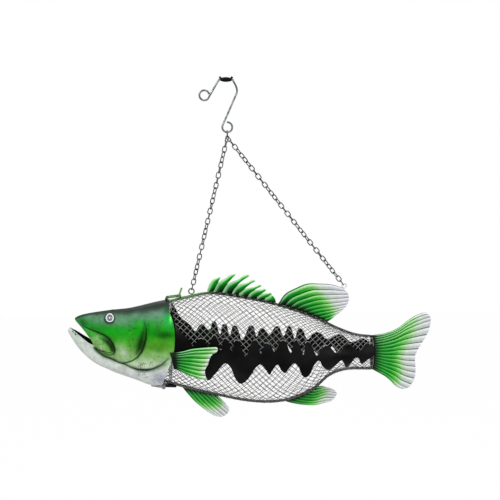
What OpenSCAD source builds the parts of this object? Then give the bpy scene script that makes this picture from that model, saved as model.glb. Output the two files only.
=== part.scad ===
// Hanging bird feeder in the shape of a bass: a wire-mesh seed basket on two bent rods,
// closed by a hinged sheet-metal head, with sheet-metal fins, two chains and a wire hook.
// Frame: origin under the hook's saddle, where it bears on its support. +Z up, the head
// points to -X, and the fish's own left side faces -Y. Millimetres.

/* [Mesh body] */
// Length of the mesh body, from the head joint to the tail plate
body_len = 302; // [280:1:330]
// Height of the mesh body at its deepest
body_h = 168; // [155:1:185]
// Thickness of the mesh body at its widest
body_w = 99; // [90:1:110]
// Distance from the head joint back to the hook's axis
hang_x = 88; // [82:0.5:94]
// Thickness of the openwork sheet that stands for the wire cloth
mesh_t = 0.9; // [0.6:0.1:1.4]
// Width of the openwork's upright bars
mesh_bar = 3.6; // [2.5:0.1:5]
// Thickness of the dark side stripe's plate
stripe_t = 1; // [0.6:0.1:1.6]
// Diameter of the rods along the back and the belly
rod_d = 4; // [3:0.1:5]
// Wire diameter of the hoop that keeps the body's mouth open
hoop_d = 3; // [2:0.1:4]
// Thickness of the plate that closes the body at the tail
tail_plate_t = 2; // [1.2:0.1:3]

/* [Head] */
// Length of the head, from the head joint forward to the tip of the lower jaw
head_len = 140; // [125:1:155]
// Thickness of the head's stamped sheet
head_t = 1; // [0.6:0.1:1.4]
// Room between the body and the head's rear margin at the cheek
gill_gap = 3.5; // [3:0.1:5]
// Depth of the pressed grooves in the cheek
groove_depth = 2; // [0.5:0.1:2.6]
// Thickness of the plate that closes the seed space at the head
bulkhead_t = 1; // [0.6:0.1:1.5]
// Diameter of an eye
eye_d = 12.6; // [8:0.5:15]
// Thickness of an eye's disc
eye_t = 1.4; // [0.8:0.1:2]

/* [Fins] */
// Thickness of the fins' sheet
fin_t = 1.2; // [0.8:0.1:2]
// Length of the spiny back fin along its base
spiny_len = 99; // [85:1:101]
// Height of the spiny back fin at its longest spine
spiny_h = 33; // [22:1:40]
// Height of the soft back fin
soft_h = 60; // [50:1:66]
// Length of the tail fin
tail_len = 84; // [70:1:100]
// Height of the tail fin
tail_h = 115; // [95:1:130]
// Depth of the fin behind the belly
anal_h = 39; // [28:1:46]
// Depth of the belly fin
pelvic_h = 31; // [22:1:38]
// Length of the cheek fins
pectoral_len = 67; // [55:1:75]
// How far a cheek fin's tip leans away from the body
pectoral_lean = 9; // [6:0.5:14]

/* [Hanger] */
// Drop from the hook's saddle to the fish's back
drop = 300; // [270:1:340]
// Wire diameter of the hook
hook_d = 2.8; // [2.2:0.1:3.2]
// Diameter of the saddle at its middle
saddle_d = 6.8; // [5.6:0.1:8]
// Length of the saddle
saddle_len = 16; // [13:0.5:17]
// Wire diameter of the ring that joins the two chains to the hook
link_d = 1.8; // [1.4:0.1:2]
// Wire diameter of the chain
chain_d = 1.5; // [1.2:0.05:1.7]
// Width of a chain link over its wire
chain_w = 7.4; // [6.8:0.1:8.2]
// Inner length of a chain link, before the chain is fitted to its leg
chain_pitch = 7.5; // [6.8:0.05:8.2]
// Wire diameter of the eyelets
eyelet_wire = 2; // [1.6:0.1:2.2]
// Outer diameter of the front eyelet
eyelet_d = 9.7; // [9:0.1:11]

/* [Hinge and latch] */
// Diameter of the hinge pin
pin_d = 3; // [2:0.1:3.4]
// Outer diameter of the hinge knuckles
knuckle_d = 6; // [5.4:0.1:6.6]
// Length of the hinge's middle knuckle
knuckle_len = 10; // [8:0.5:14]
// Running clearance around the hinge and latch pins
run_gap = 0.05; // [0.03:0.01:0.1]
// Wire diameter of the latch
latch_d = 1.8; // [1.4:0.1:2.2]
// Reach of the latch from its pivot to the bar over the keeper
latch_reach = 18; // [16:0.5:20]
// Height of the finger lift that stands up from the latch
latch_lift = 12; // [9:0.5:15]

/* [Hidden] */
$fn = 48;

// Pieces that are welded together stand this far apart
weld_gap = 0.05;
// Distance between the body's stations
step = 10;
// The openwork has an upright bar at every third station, and a level bar after each turn
bar_step = 3 * step;
bar_turn = 20;
level_bar = 3;
// How pointed the body's section is at the rods (1 is an ellipse, 2 a lens)
body_lens = 1.4;
head_lens = 0.8;

// ---- Curves -------------------------------------------------------------------------

// The stretch of the list p that holds x
function stretch(p, x, i = 0) = (i >= len(p) - 2 || x < p[i + 1][0]) ? i : stretch(p, x, i + 1);
function slope(p, i) =
    let (a = max(i - 1, 0), b = min(i + 1, len(p) - 1))
    (p[b][1] - p[a][1]) / (p[b][0] - p[a][0]);
// Height of the smooth curve through p at x
function smooth(p, x) =
    let (i = stretch(p, x), h = p[i + 1][0] - p[i][0], t = (x - p[i][0]) / h)
    p[i][1] * (2 * t^3 - 3 * t^2 + 1) + slope(p, i) * h * (t^3 - 2 * t^2 + t)
    + p[i + 1][1] * (3 * t^2 - 2 * t^3) + slope(p, i + 1) * h * (t^3 - t^2);
function unit(v) = v / norm(v);
function mix(a, b, t) = a + (b - a) * t;
// Stations from a to b, on the body's common grid in between
function stations(a, b) =
    [a, for (x = [ceil((a + 0.5) / step) * step : step : b - 0.5]) x, b];
// Points of an arc in the XZ plane, from turn a to turn b
function arc(c, r, a, b, n) = [for (i = [0 : n]) c + r * [cos(mix(a, b, i / n)), 0, sin(mix(a, b, i / n))]];
// Distance from a point to a broken line
function to_stretch(q, a, b) =
    let (t = min(1, max(0, (q - a) * (b - a) / ((b - a) * (b - a))))) norm(q - mix(a, b, t));
function to_line(q, p) = min([for (i = [0 : len(p) - 2]) to_stretch(q, p[i], p[i + 1])]);
// Values in rising order, each once
function rising(v) = len(v) < 2 ? v :
    let (m = v[floor(len(v) / 2)])
    concat(rising([for (a = v) if (a < m - 0.01) a]), [m], rising([for (a = v) if (a > m + 0.01) a]));

// ---- The body's form ----------------------------------------------------------------

// The side view is drawn for a body of this length and height, and stretched from there
drawn_len = 302;
drawn_h = 168;
drawn_head = 140;
x_joint = -hang_x;
x_tail = x_joint + body_len;
kz = body_h / drawn_h;
function body_x(x) = x_joint + (x + 88) * body_len / drawn_len;
function head_x(x) = x_joint + (x + 88) * head_len / drawn_head;
function body_z(z) = -drop + z * kz;
function on_body(p) = [for (q = p) [body_x(q[0]), body_z(q[1])]];
function on_head(p) = [for (q = p) [head_x(q[0]), body_z(q[1])]];

// Top of the back rod and bottom of the belly rod, seen from the side
BACK = on_body([[-88, -10], [-60, -3], [-24, 3], [20, -3], [70, -14], [125, -33],
    [165, -52], [190, -61], [214, -64]]);
BELLY = on_body([[-88, -131], [-60, -140], [-14, -152], [30, -161.5], [66, -164], [95, -159.5],
    [128, -144.8], [150, -125.5], [175, -116.5], [214, -116]]);
// Half thickness of the body, as a share of the widest
PLAN = [for (q = [[-88, 0.84], [-60, 0.9], [0, 0.945], [50, 0.98], [85, 1], [120, 0.96],
    [145, 0.87], [172, 0.7], [200, 0.42], [214, 0.3]]) [body_x(q[0]), q[1]]];

function back_z(x) = smooth(BACK, x);
function belly_z(x) = smooth(BELLY, x);
// The rods and the mesh run straight from station to station: the two around x, and x's share
x_mouth = x_joint + 4;
function span(x) =
    let (a = max(x_mouth, floor(x / step) * step), b = min(x_tail, floor(x / step) * step + step))
    [a, b, (x - a) / (b - a)];
// Top of the back rod and bottom of the belly rod as bent, which is thicker upright on a slope
function lean(x, v) = rod_d / 2 * (norm([1, (smooth(v, x + 1) - smooth(v, x - 1)) / 2]) - 1);
function back_rod(x) = let (s = span(x)) mix(back_z(s[0]), back_z(s[1]), s[2]) + lean(x, BACK);
function belly_rod(x) = let (s = span(x)) mix(belly_z(s[0]), belly_z(s[1]), s[2]) - lean(x, BELLY);
seat_y = rod_d / 2 + weld_gap;
function half_w(x) = smooth(PLAN, x) * body_w / 2 - seat_y;
// Middle and half of the height between the rods' centres
function mid_z(x) = (back_z(x) + belly_z(x)) / 2;
function half_h(x) = (back_z(x) - belly_z(x)) / 2 - rod_d / 2;

// A section point at the turn q (0 at the side, 90 at the back), moved out by `out`
function section(y0, w, z0, h, lens, q, out) =
    let (a = min(89.7, max(-89.7, q)), c = pow(cos(a), lens - 1),
        n = unit([h * cos(a), lens * w * c * sin(a)]))
    [y0 + w * pow(max(0, cos(q)), lens) + out * n[0], z0 + h * sin(q) + out * n[1]];
function body_point(x, q, out) = section(seat_y, half_w(x), mid_z(x), half_h(x), body_lens, q, out);
// A point moved out from the mesh, which is flat from station to station, at the turn q
function mesh_at(x, q, out) = x < x_mouth ? body_point(x, q, out) :
    let (s = span(x)) mix(body_point(s[0], q, out), body_point(s[1], q, out), s[2]);
// and at the height z
function mesh_point(x, z, out) =
    let (s = span(x), m = mix(mid_z(s[0]), mid_z(s[1]), s[2]), h = mix(half_h(s[0]), half_h(s[1]), s[2]))
    mesh_at(x, asin(min(1, max(-1, (z - m) / h))), out);

// ---- The head's form ----------------------------------------------------------------

HEAD_TOP = on_head([[-229, -43], [-220, -36], [-216, -32], [-207, -28.5], [-195, -26],
    [-179, -23.7], [-163, -21.7], [-142, -20], [-124, -16.5], [-104, -12], [-84, -8.5],
    [-60, -6]]);
HEAD_BOTTOM = on_head([[-229, -51], [-226, -58], [-213, -79], [-191, -100], [-163, -113],
    [-134, -123], [-109, -132], [-93, -131], [-60, -131]]);
HEAD_PLAN = [for (q = [[-229, 0.05], [-222, 0.09], [-208, 0.18], [-190, 0.29], [-160, 0.52],
    [-130, 0.75], [-100, 0.945], [-73, 1]]) [head_x(q[0]), q[1]]];
head_w = smooth(PLAN, x_joint + 15) * body_w / 2 + gill_gap + head_t;

function head_point(x, q, out) =
    let (top = smooth(HEAD_TOP, x), low = smooth(HEAD_BOTTOM, x))
    section(weld_gap, smooth(HEAD_PLAN, x) * head_w, (top + low) / 2, (top - low) / 2, head_lens, q, out);
function head_turn(x, z) =
    let (top = smooth(HEAD_TOP, x), low = smooth(HEAD_BOTTOM, x))
    asin(min(1, max(-1, (2 * z - top - low) / (top - low))));

// Edge of the mouth, from the nose back to its corner and out along the lower jaw
MOUTH = on_head([[-218, -34.5], [-215.5, -37.5], [-209, -44], [-203, -51], [-195, -61.5],
    [-191.5, -67], [-191, -70.5], [-198, -67.5], [-207, -61], [-218, -52.5], [-226, -47.5],
    [-228, -50]]);
// Rear margin of the head, from the back down to the throat
GILL_EDGE = concat(on_head([[-84, -8.5], [-80, -22], [-76, -31], [-73.5, -43], [-73, -56],
    [-74, -70], [-77, -84], [-84, -103], [-90, -119]]), [[head_x(-93), smooth(HEAD_BOTTOM, head_x(-93))]]);

// Pressed relief: the upper jaw's plate stands out, the gill and jaw lines go in
JAW_PLATE = on_head([[-201, -49.5], [-189, -58], [-176, -66.5], [-167, -74.5]]);
GROOVES = [
    on_head([[-204, -44.5], [-196.5, -47.5], [-185.5, -51], [-175.5, -54.5], [-167, -59.5],
        [-161.5, -67], [-159, -75], [-160.5, -81.5], [-166.5, -84], [-174, -82.5]]),
    on_head([[-184.5, -80.5], [-176.5, -86], [-164, -90], [-153.5, -94.5], [-145, -96],
        [-136.5, -100.5], [-127, -103], [-114.5, -102.5], [-104, -99.5], [-92, -93],
        [-82.5, -83.5]]),
    on_head([[-116.5, -34], [-114, -39.5], [-113, -46], [-113.5, -55], [-116, -64.5],
        [-119.5, -74.5], [-126, -83.5], [-133.5, -89.5], [-141, -93], [-148, -94.5]])];
plate_rise = 1.6;
// The brow swells above the eye, so that the eye looks sideways
eye_at = [head_x(-166), body_z(-31.5)];
brow_at = [head_x(-166), body_z(-26)];
brow_rise = 1.5;
brow_reach = 9;
// The eye lies on a sloping cheek, so it is lower than it is long
eye_lean = 0.85;
function relief(x, z) =
    plate_rise * exp(-pow(to_line([x, z], JAW_PLATE) / 8, 2))
    + brow_rise * exp(-pow(norm([x, z] - brow_at) / brow_reach, 2))
    - groove_depth * max([for (g = GROOVES) exp(-pow(to_line([x, z], g) / 4, 2))]);

// A point of the head's skin: the row runs from back to throat, the column from mouth to gill
head_rows = 28;
head_cols = 26;
function along(p, t) =
    let (s = t * (len(p) - 1), i = min(len(p) - 2, floor(s))) mix(p[i], p[i + 1], s - i);
function edge_turn(p, t) =
    let (q = along(p, t)) [q[0], t <= 0 ? 90 : t >= 1 ? -90 : head_turn(q[0], q[1])];
function skin_spot(r, c) = mix(edge_turn(MOUTH, r / head_rows), edge_turn(GILL_EDGE, r / head_rows), c / head_cols);
function skin_point(r, c, out) =
    let (s = skin_spot(r, c), q = head_point(s[0], s[1], 0),
        calm = min(1, min(r, head_rows - r) / 3) * min(1, min(c, head_cols - c) / 2),
        p = head_point(s[0], s[1], out + calm * relief(s[0], q[1])))
    [s[0], max(weld_gap, p[0]), p[1]];

// ---- Solids from grids --------------------------------------------------------------

// A closed sheet between two grids of points, `front` outside and `rear` inside
module sheet(front, rear) {
    n = len(front);
    m = len(front[0]);
    function v(side, i, j) = (side * n + i) * m + j;
    function quad(a, b, c, d) = [[a, b, c], [a, c, d]];
    faces = [for (i = [0 : n - 2], j = [0 : m - 2], f = concat(
            quad(v(0, i, j), v(0, i, j + 1), v(0, i + 1, j + 1), v(0, i + 1, j)),
            quad(v(1, i, j), v(1, i + 1, j), v(1, i + 1, j + 1), v(1, i, j + 1)))) f];
    ends = [for (i = [0 : n - 2], f = concat(
            quad(v(0, i, 0), v(0, i + 1, 0), v(1, i + 1, 0), v(1, i, 0)),
            quad(v(0, i, m - 1), v(1, i, m - 1), v(1, i + 1, m - 1), v(0, i + 1, m - 1)))) f];
    sides = [for (j = [0 : m - 2], f = concat(
            quad(v(0, 0, j), v(1, 0, j), v(1, 0, j + 1), v(0, 0, j + 1)),
            quad(v(0, n - 1, j), v(0, n - 1, j + 1), v(1, n - 1, j + 1), v(1, n - 1, j)))) f];
    polyhedron(points = [for (g = [front, rear], row = g, p = row) p], faces = concat(faces, ends, sides));
}

// The same with openings: the cell between rows i, i + 1 and columns j, j + 1 is there where keep[i][j]
module openwork(front, rear, keep) {
    n = len(front);
    m = len(front[0]);
    function v(side, i, j) = (side * n + i) * m + j;
    function quad(a, b, c, d) = [[a, b, c], [a, c, d]];
    function kept(i, j) = i >= 0 && j >= 0 && i < n - 1 && j < m - 1 && keep[i][j];
    faces = [for (i = [0 : n - 2], j = [0 : m - 2]) if (kept(i, j)) each concat(
        quad(v(0, i, j), v(0, i, j + 1), v(0, i + 1, j + 1), v(0, i + 1, j)),
        quad(v(1, i, j), v(1, i + 1, j), v(1, i + 1, j + 1), v(1, i, j + 1)),
        kept(i, j - 1) ? [] : quad(v(0, i, j), v(0, i + 1, j), v(1, i + 1, j), v(1, i, j)),
        kept(i, j + 1) ? [] : quad(v(0, i + 1, j + 1), v(0, i, j + 1), v(1, i, j + 1), v(1, i + 1, j + 1)),
        kept(i - 1, j) ? [] : quad(v(0, i, j + 1), v(0, i, j), v(1, i, j), v(1, i, j + 1)),
        kept(i + 1, j) ? [] : quad(v(0, i + 1, j), v(0, i + 1, j + 1), v(1, i + 1, j + 1), v(1, i + 1, j)))];
    all = [for (g = [front, rear], row = g, p = row) p];
    polyhedron(points = all, faces = faces);
}

// A round wire along points in a plane square to `flat`; joined end to end if closed
module wire(p, d, flat = [0, 1, 0], closed = false, sides = 10) {
    n = len(p);
    function tangent(i) = closed ? unit(p[(i + 1) % n] - p[(i + n - 1) % n])
        : unit(p[min(i + 1, n - 1)] - p[max(i - 1, 0)]);
    rings = [for (i = [0 : n - 1], k = [0 : sides - 1])
        p[i] + d / 2 * (sin(k * 360 / sides) * flat + cos(k * 360 / sides) * cross(flat, tangent(i)))];
    function v(i, k) = (i % n) * sides + k % sides;
    skin = [for (i = [0 : closed ? n - 1 : n - 2], k = [0 : sides - 1], f = [
            [v(i, k), v(i + 1, k), v(i + 1, k + 1)], [v(i, k), v(i + 1, k + 1), v(i, k + 1)]]) f];
    caps = closed ? [] : [[for (k = [0 : sides - 1]) v(0, k)], [for (k = [sides - 1 : -1 : 0]) v(n - 1, k)]];
    polyhedron(points = rings, faces = concat(skin, caps));
}

// A flat sheet in the fish's middle plane, from points in the XZ plane
module plate(p, t) {
    translate([0, t / 2, 0]) rotate([90, 0, 0]) linear_extrude(t) polygon(p);
}

module mirror_if(yes) {
    if (yes) mirror([0, 1, 0]) children();
    else children();
}

// A pin along Y between two places
module pin_y(x, z, d, y0, y1) {
    translate([x, y1, z]) rotate([90, 0, 0]) cylinder(h = y1 - y0, d = d);
}

// ---- Hanger -------------------------------------------------------------------------

saddle_z = saddle_d / 2;
ring_c = [-30.4, 0, -18.5];
ring_r = 6.9;
eye_c = [1.6, 0, -62.5];
eye_r = 7;
saddle_end = saddle_len / 2 + 0.6;
saddle_taper = 0.55;

// Centre line of the hook's wire: end ring, shank, bearing, bend, shank, eye
HOOK = concat(
    arc(ring_c, ring_r, 14, 318, 22),
    [[-12.4, 0, saddle_z - 4.6], [-10.6, 0, saddle_z - 1.9], [-saddle_end, 0, saddle_z],
        [0, 0, saddle_z], [saddle_end, 0, saddle_z], [10.2, 0, saddle_z - 2.2], [12.6, 0, saddle_z - 6.4],
        [14.8, 0, saddle_z - 11.4], [15.5, 0, saddle_z - 15.4], [15, 0, saddle_z - 18.8]],
    arc(eye_c, eye_r, 157, 455, 26));

module hook() color("dimgray") wire(HOOK, hook_d);

// Spindle-shaped saddle on the wire, with an ear at each end
module hook_saddle() color([0.16, 0.18, 0.18]) difference() {
    union() {
        translate([-saddle_len / 2, 0, saddle_z]) rotate([0, 90, 0])
            rotate_extrude() polygon([[0, 0], for (i = [0 : 12])
                [saddle_d / 2 * (1 - (1 - saddle_taper) * pow(abs(i / 6 - 1), 2)), saddle_len * i / 12],
                [0, saddle_len]]);
        for (s = [-1, 1]) translate([s * (saddle_len / 2 - 1.4), 0, saddle_z + 0.9])
            rotate([0, s * 42, 0]) cylinder(h = 3.8, d = 3);
    }
    translate([-saddle_len, 0, saddle_z]) rotate([0, 90, 0])
        cylinder(h = 2 * saddle_len, d = hook_d + 2 * weld_gap);
}

// Ring that carries both chains. It hangs in the hook's eye, square to it.
link_r = 3.9;
link_straight = 1.6;
hang_gap = 0.15;
link_top = eye_c[2] - eye_r + hook_d / 2 + link_d / 2 + hang_gap;
link_low = link_top - 2 * link_r - link_straight;

// A long link with its ends' centres on +-s/2 along X, lying in the XY plane
module oval_link(r, s, d) {
    for (e = [-1, 1]) {
        translate([e * s / 2, 0, 0]) rotate([0, 0, -90 * e]) rotate_extrude(angle = 180, $fn = 32)
            translate([r, 0]) circle(d = d, $fn = 24);
        translate([-s / 2, e * r, 0]) rotate([0, 90, 0]) cylinder(h = s, d = d, $fn = 24);
    }
}

module joining_link() color("dimgray")
    translate([eye_c[0], 0, (link_top + link_low) / 2]) rotate([0, 90, 0])
        oval_link(link_r, link_straight, link_d);

// How far a chain turns about itself over its length, in whole half turns
chain_twist = 360;
// Where the wires cross that a chain hangs on and carries
chain_top = [eye_c[0], 0, link_low];
front_x = -51;
front_ring_r = (eyelet_d - eyelet_wire) / 2;
front_ring = [front_x, 0, back_z(front_x) + eyelet_d / 2 + weld_gap];
rear_ring_r = front_ring_r - 0.6;
function ring_top(c, r) = c + r * unit(chain_top - c);

// The two first links lie side by side in the joining link's round bottom
side_y = chain_d / 2 + 0.15;
seat_r = link_r - link_d / 2 - chain_d / 2 - 0.1;
top_rest = link_r - chain_d / 2 - sqrt(seat_r * seat_r - side_y * side_y);
// They are narrow, to clear each other's second link
top_link_w = link_d + 2 * chain_d + 0.3;

// A chain from the joining link's wire at `a` to an eyelet's wire at `b`
module chain(a, b, side) {
    leg = norm(b - a) + top_rest + eyelet_wire / 2 + weld_gap;
    n = 2 * round(leg / chain_pitch / 2);
    pitch = leg / n;
    dir = unit(b - a);
    // The first link lies flat in the XZ plane and the last one across it
    for (i = [0 : n - 1]) {
        r = ((i == 0 ? top_link_w : chain_w) - chain_d) / 2;
        translate(a + dir * (pitch / 2 - top_rest + i * pitch) + [0, side * max(0, 1 - i / 4) * side_y, 0])
            rotate([0, -atan2(dir[2], dir[0]), 0])
                rotate([90 + 90 * i + chain_twist * i / (n - 1), 0, 0])
                    oval_link(r, pitch + 2 * weld_gap + chain_d - 2 * r, chain_d);
    }
}

module front_chain() color("dimgray") chain(chain_top, ring_top(front_ring, front_ring_r), -1);
module rear_chain() color("dimgray") chain(chain_top, ring_top(rear_ring, rear_ring_r), 1);

module eyelet(c, r) {
    translate(c) rotate([90, 0, 0]) rotate_extrude() translate([r, 0]) circle(d = eyelet_wire, $fn = 24);
}
module front_eyelet() color([0.35, 0.62, 0.3]) eyelet(front_ring, front_ring_r);
module rear_eyelet() color("whitesmoke") eyelet(rear_ring, rear_ring_r);

// ---- Mesh body ----------------------------------------------------------------------

// The mesh reaches further forward under the throat, where the head's margin slants
throat_reach = 11;
x_throat = x_mouth - throat_reach + 3;
module rod_along(line) wire([for (q = line) [q[0], 0, q[1]]], rod_d);
module spine_rod() color([0.12, 0.12, 0.12])
    rod_along([for (x = stations(x_mouth + 1, x_tail)) [x, back_z(x) - rod_d / 2]]);
module keel_rod() color([0.12, 0.12, 0.12])
    rod_along([for (x = concat(x_throat, stations(x_mouth, x_tail))) [x, belly_z(x) + rod_d / 2]]);

module body_half() {
    bars = [for (x = [ceil((x_mouth + step) / bar_step) * bar_step : bar_step : x_tail - 2 * step]) x];
    xs = rising(concat([x_mouth, x_mouth + mesh_bar, x_tail - mesh_bar, x_tail],
        [for (x = bars, e = [-1, 1]) x + e * mesh_bar / 2],
        [for (x = stations(x_mouth, x_tail)) if (x > x_mouth + mesh_bar + 2 && x < x_tail - mesh_bar - 2
            && min([for (b = bars) abs(x - b)]) > mesh_bar / 2 + 1) x]));
    turns = concat([90, 90 - level_bar, level_bar - 90, -90],
        [for (q = [90 - bar_turn / 2 : -bar_turn : -90]) q],
        [for (q = [90 - bar_turn : -bar_turn : bar_turn - 90], e = [-1, 1]) q + e * level_bar / 2]);
    qs = rising([for (q = turns) -q]);
    function place(i, j, out) = let (q = -qs[j], x = xs[i] + (i < 2 ? throat_reach * min(0, sin(q)) : 0))
        concat(x, mesh_at(x, q, out));
    function grid(out) = [for (i = [0 : len(xs) - 1]) [for (j = [0 : len(qs) - 1]) place(i, j, out)]];
    function level(q) = let (r = (q + 90) % bar_turn) min(r, bar_turn - r) < level_bar / 2 || abs(q) > 90 - level_bar;
    function bar(i, j) = i == 0 || i == len(xs) - 2
        || min([for (b = bars) abs((xs[i] + xs[i + 1]) / 2 - b)]) < mesh_bar / 2
        || level((qs[j] + qs[j + 1]) / 2);
    openwork(grid(0), grid(-mesh_t), [for (i = [0 : len(xs) - 2]) [for (j = [0 : len(qs) - 2]) bar(i, j)]]);
}
module mesh_left() color([0.25, 0.27, 0.25, 0.6]) mirror([0, 1, 0]) body_half();
module mesh_right() color([0.25, 0.27, 0.25, 0.6]) body_half();

// Hoop just inside the body's mouth, under both rods
module front_hoop() color([0.12, 0.12, 0.12]) {
    x = x_mouth + hoop_d / 2 + 0.5;
    in = mesh_t + hoop_d / 2 + 0.4;
    h = half_h(x) - rod_d / 2 - hoop_d / 2 - weld_gap;
    w = half_w(x) + seat_y - in;
    wire([for (q = [0 : 10 : 350]) let (c = cos(q), s = sin(q))
        [x, w * sign(c) * pow(abs(c), body_lens), mid_z(x) + h * s]], hoop_d, [1, 0, 0], true);
}

// Plate that closes the body's rear end, between the mesh halves and behind the rods
module tail_plate() color([0.1, 0.1, 0.1]) {
    side = [for (q = [-90 : 15 : 90]) section(0, half_w(x_tail) + seat_y, mid_z(x_tail),
        half_h(x_tail) + rod_d / 2, body_lens, q, 0)];
    translate([x_tail + weld_gap, 0, 0]) rotate([90, 0, 90]) linear_extrude(tail_plate_t)
        polygon(concat(side, [for (i = [len(side) - 2 : -1 : 1]) [-side[i][0], side[i][1]]]));
}

// Upper and lower edge of the dark side stripe
STRIPE_TOP = on_body([[-80, -17], [-78, -21.5], [-76, -26.5], [-74, -31.5], [-72, -37],
    [-70, -41], [-66, -46.5], [-60, -51], [-54, -57], [-47, -65.5], [-41, -57], [-37, -55],
    [-33, -57], [-26, -66], [-21, -52.5], [-18, -51], [-15, -54], [-9.5, -72], [-6, -57],
    [-2.5, -56], [1.5, -59.5], [5, -74.5], [9.5, -59.5], [12.5, -58], [17, -61], [24.5, -81],
    [34, -61], [39, -58.5], [42.5, -61.5], [46, -76.5], [51, -64.5], [55.5, -63], [61, -67],
    [66, -74.5], [73.5, -62], [78, -59.5], [82, -63], [88, -76.5], [93, -62.5], [97, -59.5],
    [100.5, -66], [105.5, -80], [109, -65], [112.5, -63], [117, -66.5], [124.5, -81], [132, -73],
    [138, -69], [144.5, -71.5], [152, -79], [160, -77.5], [167, -72.5], [174, -71], [180.5, -76],
    [187, -81], [194, -79], [202, -73.5], [213, -78]]);
STRIPE_LOW = on_body([[-80, -52], [-76, -60], [-71, -69], [-62, -82], [-46, -95], [-34, -103],
    [-28, -117], [-18, -107], [-9, -95], [-3, -90], [4, -96], [12, -115.5], [19.5, -121.5],
    [28.5, -114], [38.5, -97.5], [46, -92], [52.5, -98.5], [58.5, -107], [63.5, -98.5],
    [70, -92.5], [74.5, -100], [80.5, -104.5], [87.5, -95], [93.5, -90.5], [99, -96.5],
    [104, -108], [110, -112], [116, -106.5], [121, -94.5], [128.5, -88.5], [133.5, -97],
    [142, -103], [149.5, -100], [162, -90], [168, -100], [173, -102], [177, -95.5],
    [182.5, -89.5], [189, -92], [193, -100], [199.5, -97], [213, -90.5]]);
module stripe_half() {
    xs = rising(concat([for (q = STRIPE_TOP) q[0]], [for (q = STRIPE_LOW) q[0]],
        stations(STRIPE_TOP[0][0], STRIPE_TOP[len(STRIPE_TOP) - 1][0])));
    rows = 5;
    lift = 0.7;
    function grid(out) = [for (x = xs) [for (r = [0 : rows])
        concat(x, mesh_point(x, mix(lookup(x, STRIPE_TOP), lookup(x, STRIPE_LOW), r / rows), out))]];
    sheet(grid(lift + stripe_t), grid(lift));
}
module stripe_left() color([0.08, 0.08, 0.08]) mirror([0, 1, 0]) stripe_half();
module stripe_right() color([0.08, 0.08, 0.08]) stripe_half();

// ---- Fins ---------------------------------------------------------------------------

// A fin's outline from points [distance along its base, height off the rod], and its base
function off_back(x0, p, kx, kh) = [for (q = p) [x0 + q[0] * kx, back_z(x0 + q[0] * kx) + weld_gap + q[1] * kh]];
function off_belly(x0, p, kx, kh) = [for (q = p) [x0 + q[0] * kx, belly_z(x0 + q[0] * kx) - weld_gap - q[1] * kh]];
function back_base(a, b) = let (s = stations(a, b)) [for (i = [len(s) - 1 : -1 : 0]) [s[i], back_rod(s[i]) + 2 * weld_gap]];
function belly_base(a, b) = let (s = stations(a, b)) [for (i = [len(s) - 1 : -1 : 0]) [s[i], belly_rod(s[i]) - 2 * weld_gap]];

spiny_x = -28;
// Each spine's leading edge, its tip, and its rear edge down to the notch before the next spine
SPINES = [
    [[0, 4], [4, 12], [9, 17.5], [18.5, 21.5], [17, 18], [15, 13.5]],
    [[22, 17], [27, 21.5], [32, 26], [36.5, 29], [40.5, 29.5], [33.5, 20.5], [27.7, 12.5]],
    [[33.5, 16], [40, 19.5], [45.5, 23], [55.5, 32], [57.5, 33], [61, 31], [50, 22], [43.5, 14.5]],
    [[47, 16], [52.5, 17], [57.5, 19.7], [65.5, 27], [69.7, 24.8], [61.8, 19.5], [51, 8]],
    [[55.5, 10.7], [61, 13.5], [67.5, 15.5], [76, 20.7], [78.5, 20], [70.5, 14], [63.5, 8]],
    [[67.5, 10.5], [74, 12.5], [82.5, 16.7], [85, 15], [76.5, 6.7]],
    [[81, 8.5], [91, 12.7], [93.6, 11.5], [85.4, 4.8]],
    [[88.3, 6], [93.3, 9.6], [98.3, 4.5]]];
module spiny_dorsal_fin() color([0.1, 0.5, 0.12])
    plate(concat(off_back(spiny_x, [for (s = SPINES, p = s) p], spiny_len / 99, spiny_h / 33),
        back_base(spiny_x, spiny_x + spiny_len)), fin_t);

soft_x = spiny_x + 103;
soft_len = 72;
SOFT = [[10, 17], [26, 31], [42, 43], [59, 50], [75, 57], [86, 59.5], [94, 60], [101, 56],
    [103, 50], [102, 42], [98, 34], [91, 24.5], [82, 13]];
soft_edge = off_back(soft_x, SOFT, 1, soft_h / 60);
module soft_dorsal_fin() color([0.1, 0.5, 0.12])
    plate(concat(soft_edge, back_base(soft_x, soft_x + soft_len)), fin_t);
// The rear eyelet stands on the soft fin's top corner
soft_corner = soft_edge[6];
soft_out = unit([soft_edge[5][1] - soft_edge[7][1], soft_edge[7][0] - soft_edge[5][0]]);
rear_reach = rear_ring_r + eyelet_wire / 2 + weld_gap;
rear_ring = [soft_corner[0] + soft_out[0] * rear_reach, 0, soft_corner[1] + soft_out[1] * rear_reach];

anal_x = 86;
anal_len = 48;
ANAL = [[7, 4], [16, 9], [24, 13.5], [32, 18], [42, 24], [52, 31], [60, 36.5], [66, 39],
    [71, 38.5], [75, 35], [76, 30.5], [70, 22.5], [60, 13.5]];
module anal_fin() color([0.1, 0.5, 0.12])
    plate(concat(off_belly(anal_x, ANAL, 1, anal_h / 39), belly_base(anal_x, anal_x + anal_len)), fin_t);

pelvic_x = -65;
pelvic_len = 51;
PELVIC = [[7, 7], [16, 15], [25, 21], [36, 27], [45, 30.5], [51, 31], [57, 30], [63, 26], [67, 20],
    [67, 15], [63, 10], [58, 6]];
module pelvic_fin() color([0.1, 0.5, 0.12])
    plate(concat(off_belly(pelvic_x, PELVIC, 1, pelvic_h / 31),
        belly_base(pelvic_x, pelvic_x + pelvic_len)), fin_t);

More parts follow.
